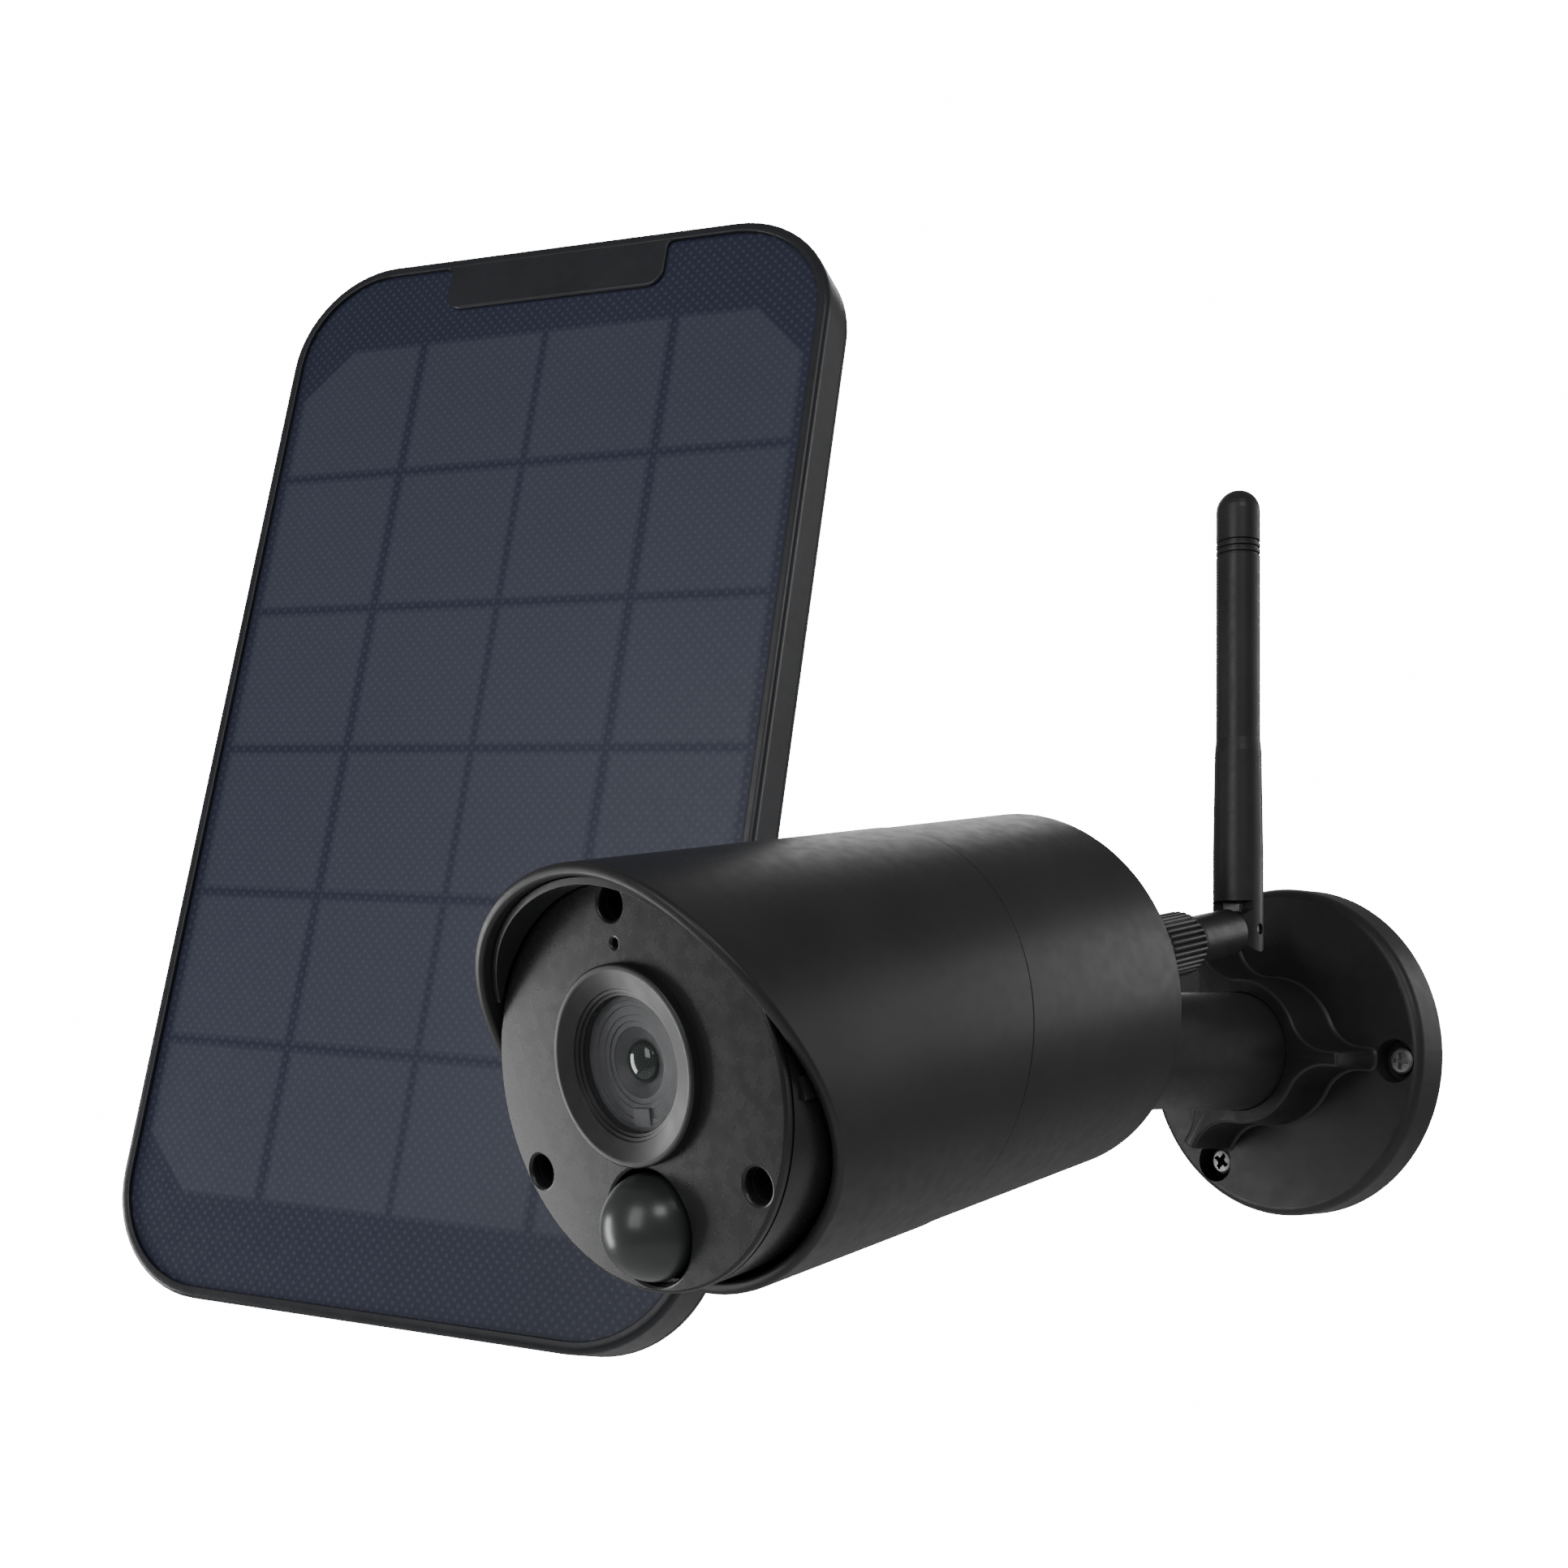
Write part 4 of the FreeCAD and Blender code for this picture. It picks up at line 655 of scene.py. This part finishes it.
def lens_bezel(material):
    """The low ring round the lens, which slopes in from its flat edge and steps down to the window."""
    front = FACE_AT - BEZEL_RISE
    bore, tail = WINDOW_RADIUS + WINDOW_PLAY, LENS_OPENING - BEZEL_PLAY
    section = [(BEZEL_RADIUS, FACE_AT + BEZEL_SUNK), (BEZEL_RADIUS, front, 0.4 * MM),
               (BEZEL_RADIUS - BEZEL_FLAT, front, 0.15 * MM),
               (BEZEL_SLOPE_RADIUS, front + 0.8 * MM, 0.08 * MM),
               (BEZEL_SLOPE_RADIUS, front + 1.05 * MM, 0.05 * MM),
               (BEZEL_LEDGE_RADIUS, front + 1.15 * MM, 0.08 * MM),
               (BEZEL_LEDGE_RADIUS, front + 1.5 * MM, 0.05 * MM),
               (bore, FACE_AT, 0.08 * MM), (bore, FACE_AT + BEZEL_TAIL),
               (tail, FACE_AT + BEZEL_TAIL), (tail, FACE_AT + BEZEL_SUNK)]
    add_piece("lens_bezel", *turned(HEAD, 0, LENS_UP, section), "head", "ring_black", material,
              "lens_ring", sharp=30.0)


def lens_pane(material):
    """The flat window over the lens."""
    glass = FACE_AT + WINDOW_DROP
    section = [(0, glass), (WINDOW_RADIUS, glass, 0.04 * MM), (WINDOW_RADIUS, glass + WINDOW_THICK),
               (0, glass + WINDOW_THICK)]
    add_piece("lens_pane", *turned(HEAD, 0, LENS_UP, section), "head", "window_glass", material,
              "lens_window", sharp=30.0)


def well_foot():
    """How far back the well's steps and the cone behind them lead."""
    return FACE_AT + WELL_DROP + sum(drop for radius, drop in WELL_STEPS) + CONE_DEPTH


def lens_steps(material):
    """The stepped rings behind the window, and the cone that leads in to the front lens."""
    level = FACE_AT + WELL_DROP
    section = [(WINDOW_RADIUS, level)]
    for radius, drop in WELL_STEPS:
        section += [(radius, level, 0.1 * MM), (radius, level + drop, 0.05 * MM)]
        level += drop
    behind = well_foot() + WELL_BACK
    section += [(CONE_RADIUS, well_foot(), 0.1 * MM), (CONE_RADIUS, behind), (WINDOW_RADIUS, behind)]
    add_piece("lens_steps", *turned(HEAD, 0, LENS_UP, section), "head", "barrel_black", material,
              "lens_barrel", "ir_lamp_board", sharp=30.0)


def lens_front(material):
    """The small domed front lens at the foot of the well."""
    rear = well_foot()
    section = [(CONE_RADIUS * math.sin(a), rear - FRONT_LENS_RISE * math.cos(a)) for a in quarter(12)]
    section += [(CONE_RADIUS, rear + FRONT_LENS_EDGE), (0, rear + FRONT_LENS_EDGE)]
    add_piece("lens_front", *turned(HEAD, 0, LENS_UP, section, 96), "head", "lens_glass", material,
              "lens_element")


def lens_sensor(material):
    """The small flag on the well's outer ring, below the lens."""
    low = LENS_UP - FLAG_DROP
    high = low + FLAG_HEIGHT
    flag = [(-FLAG_HALF, low), (FLAG_HALF, low), (FLAG_HALF, high), (-FLAG_HALF, high)]
    flat_plate("lens_sensor", [flag], HEAD, FACE_AT + WELL_DROP - FLAG_PROUD, FLAG_THICK, 0.08 * MM,
               "head", "barrel_black", material)


def motion_dome(material):
    """The motion sensor's cap: part of a ball, on a short straight skirt."""
    radius = PIR_RADIUS - 0.15 * MM
    ball = (radius ** 2 + PIR_HEIGHT ** 2) / (2 * PIR_HEIGHT)
    opening = math.asin(radius / ball)
    steps = 24
    angles = [opening * step / steps for step in range(steps + 1)]
    section = [(ball * math.sin(a), FACE_AT - PIR_HEIGHT + ball * (1 - math.cos(a))) for a in angles]
    section += [(radius, FACE_AT + 1.0 * MM), (0, FACE_AT + 1.0 * MM)]
    add_piece("sensor_dome", *turned(HEAD, 0, PIR_UP, section), "head", "dome_smoke",
              material, "motion_dome")


# The antenna's nut, the lock ring and the wall screws.


def knurled_nut(material):
    """The antenna's nut, with rounded ribs between two plain collars.

    Each level is a place along the axis, a radius, and a share of the full rib depth.
    """
    segments = NUT_RIBS * 8
    levels = [(NUT_START, 4.9 * MM, 0.0), (NUT_START + 0.4 * MM, 5.4 * MM, 0.0),
              (NUT_START + 1.2 * MM, 5.5 * MM, 0.0), (NUT_START + 1.6 * MM, NUT_RADIUS, 1.0),
              (NUT_END - 3.0 * MM, NUT_RADIUS, 1.0), (NUT_END - 2.4 * MM, NUT_RADIUS, 0.3),
              (NUT_END - 1.9 * MM, 5.3 * MM, 0.0), (NUT_END - 0.5 * MM, 5.0 * MM, 0.0),
              (NUT_END, 4.5 * MM, 0.0)]
    rings = []
    for along, radius, ribs in levels:
        ring = []
        for step in range(segments):
            angle = TURN * step / segments
            wave = abs(math.sin(angle * NUT_RIBS / 2)) ** 0.7
            reach = radius - ribs * NUT_RIB_DEPTH * (1 - wave)
            ring.append(HEAD.at(SOCKET_SIDE + reach * math.sin(angle), along,
                                SOCKET_UP + reach * math.cos(angle)))
        rings.append(ring)
    vertices, faces = loft(rings, closed=False)
    faces += end_caps(vertices, segments)
    add_piece("knurled_nut", vertices, faces, "antenna_nut", "nut_black", material, "antenna_nut",
              sharp=50.0)


def ring_reach(angle):
    """The lock ring's outline: a round hub whose edge runs in hollow curves into three thin wings."""
    third = TURN / 3
    away = abs((angle - WING_TURN + third / 2) % third - third / 2)
    centre = Vector((0, WING_HALF + WING_FILLET))
    centre.x = math.sqrt((HUB_RADIUS + WING_FILLET) ** 2 - centre.y ** 2)
    ray = Vector((math.cos(away), math.sin(away)))
    along = ray.dot(centre)
    if away >= math.atan2(centre.y, centre.x):
        return HUB_RADIUS
    touch = Vector((centre.x, WING_HALF))
    if away <= math.atan2(touch.y, touch.x):
        tip = math.sqrt(max(0.0, 1 - (math.sin(away) * WING_REACH / WING_HALF) ** 4))
        rounding = WING_TIP_ROUND * (1 - tip)
        return min(WING_REACH - rounding, WING_HALF / max(math.sin(away), 1e-6))
    return along - math.sqrt(along ** 2 - centre.length_squared + WING_FILLET ** 2)


def ring_angles():
    """Angles round the lock ring, close together on the wings and wider between them."""
    third = TURN / 3
    steps = 80
    shares = [abs(t / steps) ** 1.8 * math.copysign(1, t) for t in range(-steps, steps)]
    return [WING_TURN + third * index + share * third / 2 for index in range(3) for share in shares]


def lock_ring(material):
    """The clamp ring: one outline drawn from the wall disc to a flat front, with softened edges."""
    angles = ring_angles()
    outline = [Vector((math.cos(a), math.sin(a))) * ring_reach(a) for a in angles]
    outward = []
    for index, point in enumerate(outline):
        edge = outline[(index + 1) % len(outline)] - outline[index - 1]
        outward.append(Vector((edge.y, -edge.x)).normalized())
    bore = NECK_RADIUS + RING_PLAY

    def inner(along):
        return [WALL.at(bore * math.cos(a), along, bore * math.sin(a)) for a in angles]

    def outer(along, spread):
        return [WALL.at(p.x + n.x * spread, along, p.y + n.y * spread)
                for p, n in zip(outline, outward)]
    rings = [inner(DISC_FRONT), inner(HUB_FRONT)]
    rings += [outer(HUB_FRONT + depth, spread) for depth, spread in RING_EDGE]
    rings += [outer(DISC_FRONT - height, spread) for height, spread in RING_FOOT]
    add_piece("clamp_ring", *loft(rings), "lock_ring", "mount_black", material, "lock_ring")


def cross_reach(angle, arm, half):
    """The outline of a cross-shaped driver recess, as a distance from its centre."""
    across, rise = abs(math.cos(angle)) + 1e-6, abs(math.sin(angle)) + 1e-6
    return max(min(arm / across, half / rise), min(half / across, arm / rise))


def wall_ring(x, z, along, reach, twist=0.0, segments=96):
    """A ring about (x, z) at a depth from the wall, whose reach is a function of the angle."""
    angles = [TURN * i / segments for i in range(segments)]
    return [WALL.at(x + reach(a) * math.cos(a + twist), along, z + reach(a) * math.sin(a + twist))
            for a in angles]


def wall_screw_heads(material):
    """The wall screws as far as they show: domed heads with a cross recess."""
    mount = next(m for m in frame["record"]["mounts"] if m["name"] == "camera_wall_screws")
    circle_radius = mount["dims"]["pcd_mm"] / 2 * MM
    front = WALL_SCREW_SEAT - WALL_SCREW_HEAD
    for index in range(mount["dims"]["count"]):
        turn = WING_TURN + TURN * index / 3
        x, z = circle_radius * math.cos(turn), circle_radius * math.sin(turn)
        rings = [wall_ring(x, z, WALL_SCREW_SEAT, lambda a: WALL_SCREW_RADIUS)]
        rings += [wall_ring(x, z, front + depth, lambda a: WALL_SCREW_RADIUS * share)
                  for share, depth in WALL_SCREW_DOME]
        rings += [wall_ring(x, z, front + depth, lambda a: cross_reach(a, arm, half), turn)
                  for arm, half, depth in WALL_SCREW_RECESS]
        vertices, faces = loft(rings, closed=False)
        faces += end_caps(vertices, len(rings[0]))
        add_piece("wall_screw_%d" % (index + 1), vertices, faces, "wall_mount", "screw_steel",
                  material, "wall_screws", sharp=25.0)


# The solar panel.


def panel_outline(inset, steps=14):
    """The panel's rounded outline, drawn in by an inset."""
    x, z = PANEL_WIDTH / 2 - inset, PANEL_HEIGHT / 2 - inset
    corner = max(PANEL_CORNER - inset, 0.5 * MM)
    points = []
    for index, (sx, sz) in enumerate(((1, 1), (-1, 1), (-1, -1), (1, -1))):
        for step in range(steps + 1):
            angle = math.pi / 2 * (index + step / steps)
            points.append((sx * (x - corner) + corner * math.cos(angle),
                           sz * (z - corner) + corner * math.sin(angle)))
    return points


def panel_rim(material):
    """The tray: its side wall, its rounded front edge, the lip and the floor under the sheet."""
    tray = FILM_DEPTH + TRAY_DROP
    section = rounded([(TRAY_REACH, PANEL_SIDE), (0.0, PANEL_SIDE, 0.3 * MM), (0.0, 0.0, 1.7 * MM),
                       (LIP, 0.0, 0.35 * MM), (LIP, tray), (TRAY_REACH, tray)], 6)
    rings = [[PANEL.at(x, depth, z) for x, z in panel_outline(inset)] for inset, depth in section]
    add_piece("panel_rim", *loft(rings), "panel", "panel_black", material, "panel_frame")


def panel_tab(material):
    """The plate at the panel's head that runs down from the lip, with flared upper corners."""
    half, edge = TAB_WIDTH / 2, PANEL_HEIGHT / 2 - LIP
    shoulder, low = edge - TAB_FLARE, edge - TAB_DROP + TAB_CORNER
    right = [(half + TAB_FLARE, edge + TAB_OVERLAP)]
    right += [(half + TAB_FLARE * (1 - math.sin(a)), shoulder + TAB_FLARE * math.cos(a)) for a in quarter(8)]
    right += [(half - TAB_CORNER * (1 - math.cos(a)), low - TAB_CORNER * math.sin(a)) for a in quarter(12)]
    outline = right + [(-x, z) for x, z in reversed(right)]
    flat_plate("panel_tab", [outline], PANEL, 0.05 * MM, FILM_DEPTH + 0.8 * MM, 0.5 * MM,
               "panel", "panel_black", material)


def panel_sheet(material):
    """The dimpled front sheet: its lattice points are high and low by turns."""
    half_x, half_z = PANEL_WIDTH / 2 - LIP, PANEL_HEIGHT / 2 - LIP
    columns, rows = sheet_grid()
    corner = PANEL_CORNER - LIP
    flat = []
    for j in range(rows + 1):
        for i in range(columns + 1):
            x, z = half_x * (2 * i / columns - 1), half_z * (2 * j / rows - 1)
            past = Vector((abs(x) - half_x + corner, abs(z) - half_z + corner))
            if min(past) > 0 and past.length > corner:
                past = past.normalized() * corner
                x = math.copysign(half_x - corner + past.x, x)
                z = math.copysign(half_z - corner + past.y, z)
            flat.append((x, z))
    width = columns + 1
    vertices = []
    for index, (x, z) in enumerate(flat):
        sunk = DIMPLE_DEPTH * ((index // width + index % width) % 2)
        vertices.append(PANEL.at(x, FILM_DEPTH + sunk, z))
    faces = []
    for j in range(rows):
        for i in range(columns):
            a = j * width + i
            b, c, d = a + 1, a + width + 1, a + width
            if (i + j) % 2:
                faces += [(a, b, d), (b, c, d)]
            else:
                faces += [(a, b, c), (a, c, d)]
    mesh = bpy.data.meshes.new("panel_sheet")
    mesh.from_pydata([tuple(v) for v in vertices], [], faces)
    drawn = mesh.uv_layers.new(name="flat")
    for loop in mesh.loops:
        drawn.data[loop.index].uv = flat[loop.vertex_index]
    settle("panel_sheet", mesh, "panel", "film_blue", material, "panel_film", sharp=60.0)


def add_pieces(materials):
    """Every piece that this script draws."""
    sleeves(materials["shell_black"])
    hood_liner(materials["shell_black"])
    face(materials["face_black"])
    lens_bezel(materials["ring_black"])
    lens_pane(materials["window_glass"])
    lens_steps(materials["barrel_black"])
    lens_front(materials["lens_glass"])
    lens_sensor(materials["barrel_black"])
    motion_dome(materials["dome_smoke"])
    knurled_nut(materials["nut_black"])
    lock_ring(materials["mount_black"])
    wall_screw_heads(materials["screw_steel"])
    panel_rim(materials["panel_black"])
    panel_tab(materials["panel_black"])
    panel_sheet(materials["film_blue"])


# Camera, light and floor.


def add_camera():
    """The photograph's camera."""
    camera = bpy.data.objects.new("photo_camera", bpy.data.cameras.new("photo_camera"))
    bpy.context.scene.collection.objects.link(camera)
    camera.location = EYE
    camera.rotation_euler = LOOK.to_track_quat("-Z", "Y").to_euler()
    camera.data.lens = FOCAL_LENGTH
    camera.data.sensor_width = SENSOR_WIDTH
    camera.data.shift_y = SHIFT_UP
    bpy.context.scene.camera = camera


def beside_view(side, toward, rise):
    """A place measured from the object's middle: to the viewer's right, to the viewer, and up."""
    look = Vector((LOOK.x, LOOK.y, 0)).normalized()
    return (cad_low + cad_high) / 2 + look.cross(UP) * side - look * toward + UP * rise


def softbox(name, place, width, height, power, aim):
    """A soft light that the camera doesn't see."""
    data = bpy.data.lights.new(name, "AREA")
    data.shape = "RECTANGLE"
    data.size = width
    data.size_y = height
    data.energy = power
    lamp = bpy.data.objects.new(name, data)
    bpy.context.scene.collection.objects.link(lamp)
    lamp.location = place
    lamp.rotation_euler = (aim - place).to_track_quat("-Z", "Y").to_euler()
    lamp.visible_camera = False


def add_lights():
    """Softboxes round the object, and a near one whose reflection fades across the face."""
    middle = beside_view(0, 0, 0)
    softbox("light_left", beside_view(-0.9, 1.2, 0.4), 0.7, 1.0, 5.5, middle)
    softbox("light_rim", beside_view(0.05, -1.35, 0.7), 0.9, 0.8, 4.5, middle)
    softbox("light_behind", beside_view(1.35, -0.45, 0.3), 0.5, 0.7, 2.6, middle)
    softbox("light_right", beside_view(1.4, 0.3, 0.0), 0.3, 1.2, 1.0, middle)
    softbox("light_low", beside_view(0.6, 0.6, -1.2), 0.8, 0.5, 1.0, middle)
    softbox("light_front", beside_view(0.35, 1.5, 0.9), 0.6, 0.5, 4.5, middle)
    softbox("light_face", FACE_LIGHT_AT, 0.16, 0.3, 1.1, HEAD.at(0, FACE_AT, LENS_UP))


def add_world():
    """White behind the object, and a dimmer even light on it."""
    world = bpy.data.worlds.new("studio")
    bpy.context.scene.world = world
    world.use_nodes = True
    nodes, links = world.node_tree.nodes, world.node_tree.links
    soft = nodes["Background"]
    soft.inputs["Color"].default_value = (1, 1, 1, 1)
    soft.inputs["Strength"].default_value = WORLD_LIGHT
    bright = nodes.new("ShaderNodeBackground")
    bright.inputs["Strength"].default_value = WORLD_BACKGROUND
    seen = nodes.new("ShaderNodeLightPath").outputs["Is Camera Ray"]
    mix = nodes.new("ShaderNodeMixShader")
    links.new(seen, mix.inputs["Fac"])
    links.new(soft.outputs["Background"], mix.inputs[1])
    links.new(bright.outputs["Background"], mix.inputs[2])
    links.new(mix.outputs["Shader"], nodes["World Output"].inputs["Surface"])


def add_floor():
    """A round pale floor, a good way below the object."""
    level = cad_low.z - FLOOR_DROP
    rim = [(x, y, level) for x, y in circle(FLOOR_RADIUS, segments=128)]
    mesh = bpy.data.meshes.new("floor")
    mesh.from_pydata(rim, [], [tuple(range(len(rim)))])
    floor = bpy.data.objects.new("floor", mesh)
    bpy.context.scene.collection.objects.link(floor)
    shader = Shader("floor_pale", Roughness=0.9)
    shader.colour(shader.mix(shader.noise(3.0, 2.0), (0.84, 0.84, 0.84), (0.88, 0.88, 0.88)))
    mesh.materials.append(shader.material)


MATERIALS = make_materials()
finish_cad(MATERIALS)
add_pieces(MATERIALS)
add_camera()
add_lights()
add_world()
add_floor()
